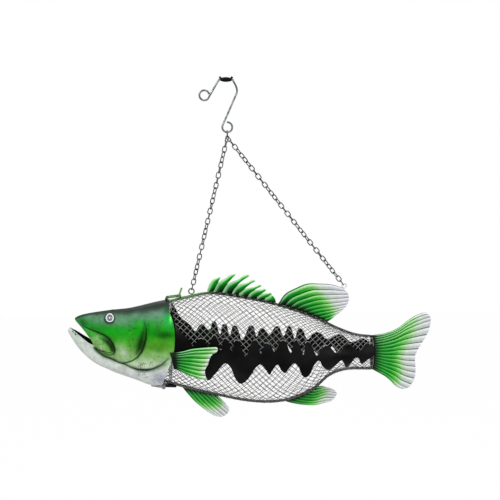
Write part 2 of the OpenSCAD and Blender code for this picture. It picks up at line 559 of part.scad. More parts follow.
// The tail fin's outline, from the tail plate back, about the body's middle there
TAIL = [[17, 28], [36, 35], [52, 47], [63, 54], [73, 58], [79, 58.5], [83, 56], [86, 51], [86, 44],
    [83, 31], [76, 18], [69, 6], [64, -5], [64, -15], [65, -25], [64.5, -35], [61, -46], [54, -54],
    [45, -56], [35, -51], [27, -43], [18, -36]];
module tail_fin() color([0.1, 0.5, 0.12]) {
    x0 = x_tail + tail_plate_t + 2 * weld_gap;
    z0 = mid_z(x_tail);
    root = half_h(x_tail) + rod_d / 2;
    plate(concat([[x0, z0 + root]],
        [for (q = TAIL) [x0 + q[0] * tail_len / 86, z0 + q[1] * tail_h / 115]], [[x0, z0 - root]]), fin_t);
}

// A cheek fin, drawn from its root on the gill margin: [distance back, height]
PECTORAL = [[0, 0], [16, 2], [31, 6], [47, 8], [60, 9], [65, 9], [67, 7], [65, 3], [59, -1], [56, -6],
    [54, -11], [53, -15], [51, -19], [49, -23], [49, -28], [50, -33], [52, -37], [42, -36], [26, -31],
    [15, -26], [5, -22]];
pectoral_root = [head_x(-80), body_z(-74)];
module pectoral_fin() {
    swing = asin(pectoral_lean / pectoral_len);
    y0 = head_point(head_x(-74), 0, 0)[0] + weld_gap + fin_t / 2;
    translate([pectoral_root[0], y0, pectoral_root[1]]) rotate([0, 0, swing])
        plate([for (q = PECTORAL) q * pectoral_len / 67], fin_t);
}
module pectoral_fin_left() color([0.2, 0.6, 0.2]) mirror([0, 1, 0]) pectoral_fin();
module pectoral_fin_right() color([0.2, 0.6, 0.2]) pectoral_fin();

// ---- Head ---------------------------------------------------------------------------

module head_half() {
    function grid(out) = [for (c = [0 : head_cols]) [for (r = [0 : head_rows]) skin_point(r, c, out)]];
    sheet(grid(0), grid(-head_t));
}
module head_left() color([0.3, 0.55, 0.35]) mirror([0, 1, 0]) head_half();
module head_right() color([0.3, 0.55, 0.35]) head_half();

// Plate inside the head's rear, which closes the seed space when the head is shut
bulkhead_x = x_mouth - throat_reach - 1.5 - bulkhead_t;
module head_bulkhead() color([0.1, 0.1, 0.1]) {
    inset = head_t + groove_depth + 0.4;
    side = [for (q = [-90 : 10 : 90]) let (p = head_point(bulkhead_x, q, -inset)) [max(0, p[0]), p[1]]];
    translate([bulkhead_x, 0, 0]) rotate([90, 0, 90]) linear_extrude(bulkhead_t)
        polygon(concat(side, [for (i = [len(side) - 2 : -1 : 1]) [-side[i][0], side[i][1]]]));
}

// A round disc that follows the brow's form, from a square grid squeezed to a circle
module eye() {
    cells = 8;
    lift = 0.3;
    function spot(i, j) =
        let (u = 2 * i / cells - 1, v = 1 - 2 * j / cells)
        eye_at + eye_d / 2 * [u * sqrt(1 - v * v / 2), eye_lean * v * sqrt(1 - u * u / 2)];
    function grid(out) = [for (i = [0 : cells]) [for (j = [0 : cells])
        let (s = spot(i, j)) concat(s[0], head_point(s[0], head_turn(s[0], s[1]), relief(s[0], s[1]) + out))]];
    sheet(grid(lift + eye_t), grid(lift));
}
module eye_left() color("whitesmoke") mirror([0, 1, 0]) eye();
module eye_right() color("whitesmoke") eye();

// ---- Hinge under the throat and latch on the back -----------------------------------

hinge_x = x_joint - 4;
hinge_z = belly_z(x_joint) - knuckle_d / 2 - 1.4;
leaf_t = 1.4;
leaf_gap = 0.3;
ear_len = 3.5;

module knuckle(y0, y1) difference() {
    pin_y(hinge_x, hinge_z, knuckle_d, y0, y1);
    pin_y(hinge_x, hinge_z, pin_d + 2 * run_gap, y0 - 1, y1 + 1);
}

module hinge_leaf_body() color([0.1, 0.1, 0.1]) {
    y = knuckle_len / 2;
    x1 = x_joint + 14;
    z1 = min(belly_z(x1), belly_z(x_joint)) - weld_gap;
    difference() {
        union() {
            pin_y(hinge_x, hinge_z, knuckle_d, -y, y);
            translate([0, y, 0]) rotate([90, 0, 0]) linear_extrude(2 * y)
                polygon([[hinge_x, hinge_z - 1], [hinge_x, hinge_z + 1], [hinge_x + knuckle_d / 2, hinge_z + 2.4],
                    [x_mouth, belly_z(x_mouth) - 2 * weld_gap], [x1, belly_z(x1) - 2 * weld_gap],
                    [x1, belly_z(x1) - leaf_t], [hinge_x + knuckle_d / 2, hinge_z - 1]]);
        }
        pin_y(hinge_x, hinge_z, pin_d + 2 * run_gap, -y - 1, y + 1);
    }
}

module hinge_leaf_head() color([0.1, 0.1, 0.1]) {
    y = knuckle_len / 2 + leaf_gap;
    x0 = head_x(-110);
    for (s = [0, 1]) mirror_if(s == 1) difference() {
        union() {
            pin_y(hinge_x, hinge_z, knuckle_d, y, y + ear_len);
            translate([0, y + ear_len, 0]) rotate([90, 0, 0]) linear_extrude(ear_len)
                polygon([[hinge_x, hinge_z - 1.5], [x0, smooth(HEAD_BOTTOM, x0) - leaf_t - 0.4],
                    [x0, smooth(HEAD_BOTTOM, x0) - 0.1], [head_x(-106), smooth(HEAD_BOTTOM, head_x(-106)) - 0.1],
                    [head_x(-101), smooth(HEAD_BOTTOM, head_x(-101)) - 0.1], [hinge_x, hinge_z + 1.5]]);
        }
        pin_y(hinge_x, hinge_z, pin_d + 2 * run_gap, y - 1, y + ear_len + 1);
    }
}

module hinge_pin() color("gray") {
    y = knuckle_len / 2 + leaf_gap + ear_len + 0.8;
    pin_y(hinge_x, hinge_z, pin_d, -y, y);
}

latch_x = x_joint + 19;
latch_wide = 5;
bracket_h = 5;
bracket_w = 6;
bracket_x = 7;
latch_z = back_z(latch_x) + 2.6;

module latch_bracket() color([0.35, 0.62, 0.3]) difference() {
    x0 = latch_x - bracket_x / 2;
    x1 = latch_x + bracket_x / 2;
    translate([0, bracket_w / 2, 0]) rotate([90, 0, 0]) linear_extrude(bracket_w)
        polygon([[x0, back_z(x1) + 2 * weld_gap], [x1, back_z(x1) + 2 * weld_gap],
            [x1 - 1, latch_z + 2], [x0 + 1, latch_z + 2]]);
    pin_y(latch_x, latch_z, latch_d + 2 * run_gap, -bracket_w, bracket_w);
}

keeper_x = latch_x - latch_reach;
keeper_d = 4;
keeper_top = smooth(HEAD_TOP, keeper_x) + 3;
latch_rest = 0.3;
module latch_keeper() color([0.1, 0.1, 0.1]) {
    low = smooth(HEAD_TOP, keeper_x) + 0.16;
    translate([keeper_x, 0, low]) cylinder(h = keeper_top - low, d = keeper_d);
}

// Two arms on a pivot, with a bar over the keeper and a finger lift on the left arm
latch_arm_t = 1.4;
latch_arm_w = latch_d + 0.8;
module latch_wire() color([0.35, 0.62, 0.3]) {
    a = [latch_x, latch_z];
    b = [keeper_x, keeper_top + latch_rest + latch_d / 2];
    in = latch_wide - latch_arm_t / 2;
    for (p = [a, b]) pin_y(p[0], p[1], latch_d, -in, in);
    translate([0, latch_wide, 0]) rotate([90, 0, 0]) linear_extrude(latch_arm_t) strip(a, b, latch_arm_w);
    translate([0, latch_arm_t - latch_wide, 0]) rotate([90, 0, 0]) linear_extrude(latch_arm_t) {
        strip(a, b, latch_arm_w);
        strip(a, a + latch_lift * [sin(20), cos(20)], latch_arm_w);
    }
}
// A flat strip with round ends
module strip(a, b, w) {
    turn = atan2(b[1] - a[1], b[0] - a[0]);
    polygon([for (e = [[a, 90], [b, -90]], k = [0 : 4])
        e[0] + w / 2 * [cos(turn + e[1] + 45 * k), sin(turn + e[1] + 45 * k)]]);
}

hook();
hook_saddle();
joining_link();
front_chain();
rear_chain();
front_eyelet();
rear_eyelet();
spine_rod();
keel_rod();
front_hoop();
tail_plate();
mesh_left();
mesh_right();
stripe_left();
stripe_right();
spiny_dorsal_fin();
soft_dorsal_fin();
tail_fin();
anal_fin();
pelvic_fin();
pectoral_fin_left();
pectoral_fin_right();
head_left();
head_right();
head_bulkhead();
eye_left();
eye_right();
hinge_leaf_body();
hinge_leaf_head();
hinge_pin();
latch_bracket();
latch_wire();
latch_keeper();
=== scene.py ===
"""Looks of the hanging bird feeder: wire cloth, stamped and airbrushed fish parts, bent wire."""
import math

import bpy
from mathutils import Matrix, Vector


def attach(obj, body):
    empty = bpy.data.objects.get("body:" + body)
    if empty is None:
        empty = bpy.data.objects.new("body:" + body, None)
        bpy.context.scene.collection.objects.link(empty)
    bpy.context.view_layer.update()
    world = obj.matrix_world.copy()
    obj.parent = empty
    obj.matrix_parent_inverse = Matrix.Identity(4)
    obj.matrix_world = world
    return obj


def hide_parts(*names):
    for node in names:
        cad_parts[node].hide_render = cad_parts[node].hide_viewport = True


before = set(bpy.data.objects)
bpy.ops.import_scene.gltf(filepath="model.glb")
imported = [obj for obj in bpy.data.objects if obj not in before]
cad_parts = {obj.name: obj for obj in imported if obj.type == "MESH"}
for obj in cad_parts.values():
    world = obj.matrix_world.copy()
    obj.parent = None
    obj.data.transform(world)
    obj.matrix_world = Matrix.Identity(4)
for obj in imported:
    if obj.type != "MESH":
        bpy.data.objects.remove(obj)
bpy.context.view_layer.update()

MM = 0.001
scene = bpy.context.scene
scene.view_settings.view_transform = "Standard"

# ---- Camera, lights and surroundings -----------------------------------------------------

camera_data = bpy.data.cameras.new("camera")
camera_data.lens = 50.4
camera_data.sensor_width = 36
camera = bpy.data.objects.new("camera", camera_data)
camera.location = (-0.0203, -1.0, -0.1252)
camera.rotation_euler = (math.radians(83.64), 0, math.radians(-3.09))
scene.collection.objects.link(camera)
scene.camera = camera


def area_light(name, place, target, width, power):
    data = bpy.data.lights.new(name, "AREA")
    data.shape = "SQUARE"
    data.size = width
    data.energy = power
    lamp = bpy.data.objects.new(name, data)
    lamp.location = place
    lamp.rotation_euler = (Vector(target) - Vector(place)).to_track_quat("-Z", "Y").to_euler()
    scene.collection.objects.link(lamp)


fish_middle = (0.02, 0, -0.38)
area_light("key", (-0.9, -1.5, 0.9), fish_middle, 0.7, 21)
area_light("fill", (1.3, -1.3, 0.1), fish_middle, 1.0, 9)
area_light("top", (0.1, 0.1, 1.1), fish_middle, 0.9, 10)
area_light("back", (0.3, 1.6, 0.4), fish_middle, 1.0, 12)


# ---- Node building -----------------------------------------------------------------------

def node(tree, kind, inputs=None, **settings):
    """A node with its settings, and its sockets set to values or linked to other sockets."""
    made = tree.nodes.new(kind)
    for name, value in settings.items():
        setattr(made, name, value)
    for name, value in (inputs or {}).items():
        if isinstance(value, bpy.types.NodeSocket):
            tree.links.new(value, made.inputs[name])
        else:
            made.inputs[name].default_value = value
    return made


def ramp(tree, factor, stops, interpolation="LINEAR"):
    """A colour ramp from (place, colour) stops; returns its colour socket."""
    made = node(tree, "ShaderNodeValToRGB", {"Fac": factor})
    made.color_ramp.interpolation = interpolation
    elements = made.color_ramp.elements
    while len(elements) < len(stops):
        elements.new(1)
    for element, (place, colour) in zip(elements, stops):
        element.position = place
        element.color = (*colour, 1) if len(colour) == 3 else colour
    return made.outputs["Color"]


def grey(value):
    return (value, value, value)


def linear(red, green, blue):
    """A colour chosen on the usual 0 to 255 scale, as light."""
    return tuple((c / 255 / 12.92) if c < 10.3 else ((c / 255 + 0.055) / 1.055) ** 2.4
                 for c in (red, green, blue))


def blend(tree, factor, first, second, kind="MIX"):
    made = node(tree, "ShaderNodeMix", data_type="RGBA", blend_type=kind)
    for index, value in ((0, factor), (6, first), (7, second)):
        if isinstance(value, bpy.types.NodeSocket):
            tree.links.new(value, made.inputs[index])
        elif index:
            made.inputs[index].default_value = (*value, 1)
        else:
            made.inputs[index].default_value = value
    return made.outputs[2]


def reckon(tree, operation, *values, clamp=False):
    made = node(tree, "ShaderNodeMath", operation=operation, use_clamp=clamp)
    for index, value in enumerate(values):
        if isinstance(value, bpy.types.NodeSocket):
            tree.links.new(value, made.inputs[index])
        else:
            made.inputs[index].default_value = value
    return made.outputs[0]


def clouds(tree, place, scale, detail, **more):
    """Soft noise, from 0 to 1."""
    made = node(tree, "ShaderNodeTexNoise", {"Vector": place, "Scale": scale, "Detail": detail, **more})
    return made.outputs["Fac"]


def group(name, inputs, outputs):
    """An empty node group with named sockets; returns its tree, its inputs and its output node."""
    tree = bpy.data.node_groups.new(name, "ShaderNodeTree")
    for socket, (kind, value) in inputs.items():
        made = tree.interface.new_socket(socket, in_out="INPUT", socket_type="NodeSocket" + kind)
        if value is not None:
            made.default_value = value
    for socket, kind in outputs.items():
        tree.interface.new_socket(socket, in_out="OUTPUT", socket_type="NodeSocket" + kind)
    return tree, tree.nodes.new("NodeGroupInput").outputs, tree.nodes.new("NodeGroupOutput")


def use(tree, shared, **inputs):
    """Places a shared group in a material; returns its outputs."""
    made = tree.nodes.new("ShaderNodeGroup")
    made.node_tree = shared
    for name, value in inputs.items():
        socket = made.inputs[name.replace("_", " ")]
        if isinstance(value, bpy.types.NodeSocket):
            tree.links.new(value, socket)
        else:
            socket.default_value = value
    return made.outputs


def make_mottle():
    """Cloudy light and dark in sprayed enamel."""
    tree, given, out = group("mottle", {
        "Place": ("Vector", None), "Colour": ("Color", (1, 1, 1, 1)),
        "Scale": ("Float", 60), "Amount": ("Float", 0.2)}, {"Colour": "Color"})
    cloud = clouds(tree, given["Place"], given["Scale"], 5, Roughness=0.62)
    swing = reckon(tree, "MULTIPLY", reckon(tree, "SUBTRACT", cloud, 0.5), given["Amount"])
    level = reckon(tree, "MULTIPLY_ADD", swing, 4.0, 1.0)
    shaded = node(tree, "ShaderNodeHueSaturation", {"Value": level, "Color": given["Colour"]})
    tree.links.new(shaded.outputs["Color"], out.inputs["Colour"])
    return tree


def make_specks():
    """Scattered specks, denser in some places than in others."""
    tree, given, out = group("specks", {
        "Place": ("Vector", None), "Scale": ("Float", 400), "Cover": ("Float", 0.3)}, {"Mask": "Float"})
    cells = node(tree, "ShaderNodeTexVoronoi", {
        "Vector": given["Place"], "Scale": given["Scale"], "Randomness": 1}).outputs["Distance"]
    patch = clouds(tree, given["Place"], 45, 2)
    size = reckon(tree, "MULTIPLY", reckon(tree, "SUBTRACT", patch, 0.42, clamp=True), given["Cover"])
    mask = reckon(tree, "MULTIPLY", reckon(tree, "SUBTRACT", size, cells), 9.0, clamp=True)
    tree.links.new(mask, out.inputs["Mask"])
    return tree


def make_overspray():
    """Soft patches of paint that drifted onto a piece."""
    tree, given, out = group("overspray", {
        "Place": ("Vector", None), "Scale": ("Float", 30), "Cover": ("Float", 0.5)}, {"Mask": "Float"})
    cloud = clouds(tree, given["Place"], given["Scale"], 4, Roughness=0.7)
    edge = reckon(tree, "SUBTRACT", 1.0, given["Cover"])
    mask = reckon(tree, "MULTIPLY", reckon(tree, "SUBTRACT", cloud, edge), 7.0, clamp=True)
    tree.links.new(mask, out.inputs["Mask"])
    return tree


def make_finish():
    """Uneven gloss and a faint dimpled skin."""
    tree, given, out = group("finish", {
        "Place": ("Vector", None), "Scale": ("Float", 300), "Gloss": ("Float", 0.35),
        "Spread": ("Float", 0.15), "Relief": ("Float", 0.0002)},
        {"Roughness": "Float", "Normal": "Vector"})
    fine = clouds(tree, given["Place"], given["Scale"], 3)
    swing = reckon(tree, "SUBTRACT", fine, 0.5)
    rough = reckon(tree, "MULTIPLY_ADD", swing, given["Spread"], given["Gloss"])
    relief = node(tree, "ShaderNodeBump", {"Height": fine, "Distance": given["Relief"], "Strength": 0.6})
    tree.links.new(rough, out.inputs["Roughness"])
    tree.links.new(relief.outputs["Normal"], out.inputs["Normal"])
    return tree


MOTTLE, SPECKS, OVERSPRAY, FINISH = make_mottle(), make_specks(), make_overspray(), make_finish()


class Coat:
    """A material under construction, with its place coordinates at hand."""

    def __init__(self, name, metallic=0.0, specular=0.3):
        self.material = bpy.data.materials.new(name)
        self.material.use_nodes = True
        self.tree = self.material.node_tree
        self.shader = self.tree.nodes["Principled BSDF"]
        self.shader.inputs["Metallic"].default_value = metallic
        self.shader.inputs["Specular IOR Level"].default_value = specular
        self.place = node(self.tree, "ShaderNodeTexCoord").outputs["Object"]

    def colour(self, socket):
        self.tree.links.new(socket, self.shader.inputs["Base Color"])
        return self

    def finish(self, gloss, spread=0.12, scale=300.0, relief=0.0002):
        made = use(self.tree, FINISH, Place=self.place, Scale=scale, Gloss=gloss, Spread=spread,
                   Relief=relief)
        for name in ("Roughness", "Normal"):
            self.tree.links.new(made[name], self.shader.inputs[name])
        return self.material

    def attribute(self, name, output="Color"):
        return node(self.tree, "ShaderNodeAttribute", attribute_name=name).outputs[output]


# ---- Finishes ----------------------------------------------------------------------------

def head_enamel():
    """Airbrushed enamel, with the paint carried by the sheet, painted shade and highlights among it, and
    dust specks in the clear coat.
    """
    coat = Coat("head_enamel", specular=0.08)
    tree = coat.tree
    cloudy = use(tree, MOTTLE, Place=coat.place, Colour=coat.attribute("paint"), Scale=85.0, Amount=0.3)
    grain = use(tree, MOTTLE, Place=coat.place, Colour=cloudy["Colour"], Scale=420.0, Amount=0.1)
    specks = use(tree, SPECKS, Place=coat.place, Scale=330.0, Cover=1.6)["Mask"]
    dark = blend(tree, reckon(tree, "MULTIPLY", specks, 0.5), grain["Colour"], linear(30, 45, 25))
    return coat.colour(dark).finish(0.34, 0.2)


def fin_enamel():
    """Green enamel on pleated sheet, dark green at the root and pale towards the edge; across each ray a
    painted shade in the fold, a painted highlight on the crest, and a flank painted darker away from the
    light above.
    """
    coat = Coat("fin_enamel", specular=0.07)
    tree = coat.tree
    drift = clouds(tree, coat.place, 38, 3)
    swing = reckon(tree, "SUBTRACT", drift, 0.5)
    reach = reckon(tree, "MULTIPLY_ADD", swing, 0.16, coat.attribute("reach", "Fac"))
    ray = reckon(tree, "FRACT", coat.attribute("across", "Fac"))
    flank = ramp(tree, reach, [
        (0.0, linear(4, 12, 4)), (0.07, linear(3, 84, 18)), (0.18, linear(0, 146, 30)),
        (0.34, linear(12, 164, 32)), (0.48, linear(66, 190, 50)), (0.6, linear(128, 206, 104)),
        (0.74, linear(198, 213, 198)), (1.0, linear(210, 210, 218))])
    # The pale crest colour is a painted highlight
    crest = ramp(tree, reach, [
        (0.0, linear(30, 80, 34)), (0.08, linear(150, 214, 158)), (0.34, linear(186, 234, 172)),
        (0.6, linear(222, 240, 216)), (1.0, linear(234, 234, 238))])
    # The dark fold colour is painted shade
    fold = ramp(tree, reach, [
        (0.0, linear(1, 3, 1)), (0.35, linear(0, 26, 4)), (0.56, linear(8, 58, 10)),
        (0.74, linear(72, 82, 74)), (1.0, linear(92, 92, 100))])
    # Across the ray: painted shade down the flank, the crest's painted highlight and the fold's painted
    # shade
    shaded = ramp(tree, ray, [(0.3, grey(1)), (0.95, grey(0.45))])
    crest_highlight = ramp(tree, ray, [(0.12, grey(0)), (0.22, grey(0.95)), (0.34, grey(0.5)), (0.52, grey(0))])
    fold_shade = ramp(tree, ray, [
        (0.0, grey(1)), (0.07, grey(0.9)), (0.15, grey(0)), (0.9, grey(0)), (1.0, grey(1))])
    crest_highlight = reckon(tree, "MULTIPLY", crest_highlight, coat.attribute("gleam", "Fac"))
    body = blend(tree, reckon(tree, "SUBTRACT", 1.0, reckon(tree, "MULTIPLY", reach, 0.8, clamp=True)),
                 flank, blend(tree, 1.0, flank, shaded, "MULTIPLY"))
    painted = blend(tree, fold_shade, blend(tree, crest_highlight, body, crest), fold)
    cloudy = use(tree, MOTTLE, Place=coat.place, Colour=painted, Scale=160.0, Amount=0.08)
    return coat.colour(cloudy["Colour"]).finish(0.3, 0.15)


def black_enamel(name, gloss, tone, sheen, dust=0.3):
    coat = Coat(name, specular=0.07)
    tree = coat.tree
    patch = clouds(tree, coat.place, 26, 4)
    tinted = ramp(tree, patch, [(0.42, linear(*tone)), (0.72, linear(*sheen))])
    specks = use(tree, SPECKS, Place=coat.place, Scale=500.0, Cover=1.1)["Mask"]
    dusty = blend(tree, reckon(tree, "MULTIPLY", specks, dust), tinted, linear(90, 92, 90))
    return coat.colour(dusty).finish(gloss)


def sprayed_metal(name, base, spray, cover, metallic=0.0, gloss=0.42, scale=60.0):
    """Metal or dark enamel with patches of drifted paint."""
    coat = Coat(name, metallic=metallic, specular=0.35)
    tree = coat.tree
    mask = use(tree, OVERSPRAY, Place=coat.place, Scale=scale, Cover=cover)["Mask"]
    grained = use(tree, MOTTLE, Place=coat.place, Scale=500.0, Amount=0.2)["Colour"]
    patched = blend(tree, mask, linear(*base), linear(*spray))
    return coat.colour(blend(tree, 1.0, patched, grained, "MULTIPLY")).finish(gloss)


# The body's middle lies this far below the hook's arch, in metres
MIDDLE_DROP = 0.374


def cloth_wire():
    """Grey wire with drifts of green overspray; black where it faces the body's middle, which is painted
    shade of the body's inside.
    """
    coat = Coat("cloth_wire", metallic=0.2, specular=0.3)
    tree = coat.tree
    place = node(tree, "ShaderNodeSeparateXYZ", {"Vector": coat.place}).outputs
    radial = node(tree, "ShaderNodeCombineXYZ", {
        "Y": place["Y"], "Z": reckon(tree, "ADD", place["Z"], MIDDLE_DROP)}).outputs["Vector"]
    outward = node(tree, "ShaderNodeVectorMath", {0: radial}, operation="NORMALIZE").outputs["Vector"]
    normal = node(tree, "ShaderNodeNewGeometry").outputs["Normal"]
    facing = node(tree, "ShaderNodeVectorMath", {0: outward, 1: normal},
                  operation="DOT_PRODUCT").outputs["Value"]
    mask = use(tree, OVERSPRAY, Place=coat.place, Scale=20.0, Cover=0.4)["Mask"]
    sprayed = blend(tree, mask, linear(140, 142, 139), linear(116, 160, 96))
    # Painted shade: the wire turns black where it faces into the body
    outer = ramp(tree, facing, [(0.05, grey(0)), (0.45, grey(1))])
    return coat.colour(blend(tree, outer, linear(24, 25, 24), sprayed)).finish(0.42)


def worn_steel(name, tone, bright, gloss=0.36):
    """Plated wire, brighter where it rubs."""
    coat = Coat(name, metallic=0.75, specular=0.5)
    tree = coat.tree
    rub = clouds(tree, coat.place, 190, 5)
    toned = ramp(tree, rub, [(0.4, linear(*tone)), (0.7, linear(*bright))])
    return coat.colour(toned).finish(gloss, 0.25, 900.0, 0.0001)


def head_inside():
    """Black behind the mouth's corner, with the pale spray carried round the lower lip."""
    coat = Coat("head_inside", specular=0.12)
    tree = coat.tree
    along = node(tree, "ShaderNodeSeparateXYZ", {"Vector": coat.place}).outputs["X"]
    toned = ramp(tree, reckon(tree, "MULTIPLY_ADD", along, 60.0, 13.6), [
        (0.15, linear(186, 194, 188)), (0.4, linear(60, 76, 60)), (0.62, linear(4, 4, 4))])
    return coat.colour(toned).finish(0.45)


def spine_enamel():
    """Black rod, sprayed green from the latch to the front eyelet."""
    coat = Coat("spine_enamel", specular=0.2)
    tree = coat.tree
    along = node(tree, "ShaderNodeSeparateXYZ", {"Vector": coat.place}).outputs["X"]
    drift = use(tree, OVERSPRAY, Place=coat.place, Scale=60.0, Cover=0.44)["Mask"]
    front = ramp(tree, reckon(tree, "MULTIPLY_ADD", along, 12.0, 0.9), [(0.3, grey(1)), (0.7, grey(0))])
    mask = reckon(tree, "MAXIMUM", reckon(tree, "MULTIPLY", drift, 0.6), front)
    return coat.colour(blend(tree, mask, linear(22, 24, 20), linear(92, 142, 74))).finish(0.42)


HEAD_ENAMEL = head_enamel()
HEAD_INSIDE = head_inside()
FIN_ENAMEL = fin_enamel()
STRIPE_BLACK = black_enamel("stripe_black", 0.32, (2, 2, 2), (20, 20, 22), 0.08)
INNER_BLACK = black_enamel("inner_black", 0.5, (9, 10, 9), (20, 22, 20))
HINGE_BLACK = black_enamel("hinge_black", 0.4, (20, 21, 24), (62, 62, 70))
ROD_BLACK = sprayed_metal("rod_black", (24, 26, 22), (96, 122, 74), 0.44)
SPINE_ENAMEL = spine_enamel()
HOOP_GREY = sprayed_metal("hoop_grey", (196, 198, 198), (222, 224, 222), 0.5)
THROAT_GREY = sprayed_metal("throat_grey", (120, 122, 128), (184, 186, 194), 0.6, 0.0, 0.4, 90.0)
CLOTH_WIRE = cloth_wire()
SPRAYED_GREEN = sprayed_metal("sprayed_green", (70, 84, 62), (112, 168, 88), 0.56, 0.0, 0.4, 130.0)
SPRAYED_WHITE = sprayed_metal("sprayed_white", (200, 204, 202), (238, 240, 240), 0.55, 0.0, 0.35, 130.0)
HOOK_STEEL = worn_steel("hook_steel", (92, 98, 98), (158, 164, 164))
CHAIN_STEEL = worn_steel("chain_steel", (48, 50, 52), (128, 130, 132))
PIN_STEEL = worn_steel("pin_steel", (120, 122, 124), (190, 192, 194))
# The pale rim on the stripe's lobes: worn paint and a painted highlight
WORN_AND_LIT_EDGE = worn_steel("worn_and_lit_edge", (120, 122, 122), (170, 172, 172))


def coat_node(name, material):
    """Gives a CAD node its finish."""
    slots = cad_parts[name].data.materials
    slots.clear()
    slots.append(material)


# ---- The fish's form, as the frame has it (millimetres) -------------------------------------

BODY_W, ROD_D, WELD = 99, 4, 0.05
DROP, X_JOINT, X_TAIL = 300, -88, 214
X_MOUTH = X_JOINT + 4
THROAT_REACH = 11
BODY_LENS, HEAD_LENS = 1.4, 0.8
SEAT_Y = ROD_D / 2 + WELD
BACK = [(-88, -10), (-60, -3), (-24, 3), (20, -3), (70, -14), (125, -33), (165, -52), (190, -61),
        (214, -64)]
BELLY = [(-88, -131), (-60, -140), (-14, -152), (30, -161.5), (66, -164), (95, -159.5), (128, -144.8),
         (150, -125.5), (175, -116.5), (214, -116)]
PLAN = [(-88, 0.84), (-60, 0.9), (0, 0.945), (50, 0.98), (85, 1), (120, 0.96), (145, 0.87), (172, 0.7),
        (200, 0.42), (214, 0.3)]
HEAD_TOP = [(-229, -43), (-220, -36), (-216, -32), (-207, -28.5), (-195, -26), (-179, -23.7),
            (-163, -21.7), (-142, -20), (-124, -16.5), (-104, -12), (-84, -8.5), (-60, -6)]
HEAD_BOTTOM = [(-229, -51), (-226, -58), (-213, -79), (-191, -100), (-163, -113), (-134, -123),
               (-109, -132), (-93, -131), (-60, -131)]
HEAD_PLAN = [(-229, 0.05), (-222, 0.09), (-208, 0.18), (-190, 0.29), (-160, 0.52), (-130, 0.75),
             (-100, 0.945), (-73, 1)]


def smooth(points, x):
    """Height of the smooth curve through the points at x."""
    last = len(points) - 2
    i = next((k for k in range(last) if x < points[k + 1][0]), last)

    def slope(k):
        low, high = points[max(k - 1, 0)], points[min(k + 1, len(points) - 1)]
        return (high[1] - low[1]) / (high[0] - low[0])

    width = points[i + 1][0] - points[i][0]
    t = (x - points[i][0]) / width
    return (points[i][1] * (2 * t**3 - 3 * t**2 + 1) + slope(i) * width * (t**3 - 2 * t**2 + t)
            + points[i + 1][1] * (3 * t**2 - 2 * t**3) + slope(i + 1) * width * (t**3 - t**2))


def through(points, t):
    """A place on the smooth line through points in any direction, t from 0 to 1."""
    spot = min(max(t, 0), 1) * (len(points) - 1)
    i = min(int(spot), len(points) - 2)
    f = spot - i
    a, b = Vector(points[i]), Vector(points[i + 1])
    before = Vector(points[i - 1]) if i else 2 * a - b
    after = Vector(points[i + 2]) if i + 2 < len(points) else 2 * b - a
    return 0.5 * (2 * a + (b - before) * f + (2 * before - 5 * a + 4 * b - after) * f**2
                  + (3 * a - before - 3 * b + after) * f**3)


def mix(a, b, t):
    return a + (b - a) * t


def section(y0, width, middle, height, lens, turn, out):
    """(y, z) of a section's point at a turn in degrees, moved out along the surface's normal."""
    a = math.radians(min(89.7, max(-89.7, turn)))
    fall = lens * width * math.cos(a) ** (lens - 1) * math.sin(a)
    normal = Vector((height * math.cos(a), fall)).normalized()
    q = math.radians(turn)
    return (y0 + width * max(0, math.cos(q)) ** lens + out * normal.x,
            middle + height * math.sin(q) + out * normal.y)


def back_z(x):
    return smooth(BACK, x) - DROP


def belly_z(x):
    return smooth(BELLY, x) - DROP


def body_sizes(x):
    """Half width, middle and half height of the body between its rods."""
    half = (back_z(x) - belly_z(x)) / 2 - ROD_D / 2
    return smooth(PLAN, x) * BODY_W / 2 - SEAT_Y, (back_z(x) + belly_z(x)) / 2, half


def body_point(x, turn, out=0.0):
    width, middle, half = body_sizes(x)
    return section(SEAT_Y, width, middle, half, BODY_LENS, turn, out)


def mouth_x(turn):
    """Front edge of the wire cloth, which reaches forward under the throat."""
    return X_MOUTH + THROAT_REACH * min(0, math.sin(math.radians(turn)))


def turn_at(z, low, high):
    return math.degrees(math.asin(min(1, max(-1, (2 * z - low - high) / (high - low)))))


GILL_GAP, HEAD_T = 3.5, 1
HEAD_W = smooth(PLAN, X_JOINT + 15) * BODY_W / 2 + GILL_GAP + HEAD_T


def head_point(x, turn, out=0.0):
    top, low = smooth(HEAD_TOP, x), smooth(HEAD_BOTTOM, x)
    width = smooth(HEAD_PLAN, x) * HEAD_W
    return section(WELD, width, (top + low) / 2 - DROP, (top - low) / 2, HEAD_LENS, turn, out)


def head_turn(x, z):
    return turn_at(z, smooth(HEAD_BOTTOM, x), smooth(HEAD_TOP, x))


# ---- Modelling ---------------------------------------------------------------------------

def deselect():
    bpy.ops.object.select_all(action="DESELECT")


def dress(piece, body, slot, material, *stands_for):
    """Gives a finished piece its material, if one is given, attaches it to the body it moves with and
    hides the nodes it stands for; slot is not used.
    """
    if material:
        piece.data.materials.clear()
        piece.data.materials.append(material)
    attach(piece, body)
    if stands_for:
        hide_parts(*stands_for)
    return piece


def apply_all(piece):
    deselect()
    bpy.context.view_layer.objects.active = piece
    piece.select_set(True)
    for modifier in list(piece.modifiers):
        bpy.ops.object.modifier_apply(modifier=modifier.name)


def smooth_shade(piece, angle=40):
    deselect()
    bpy.context.view_layer.objects.active = piece
    piece.select_set(True)
    bpy.ops.object.shade_smooth_by_angle(angle=math.radians(angle))


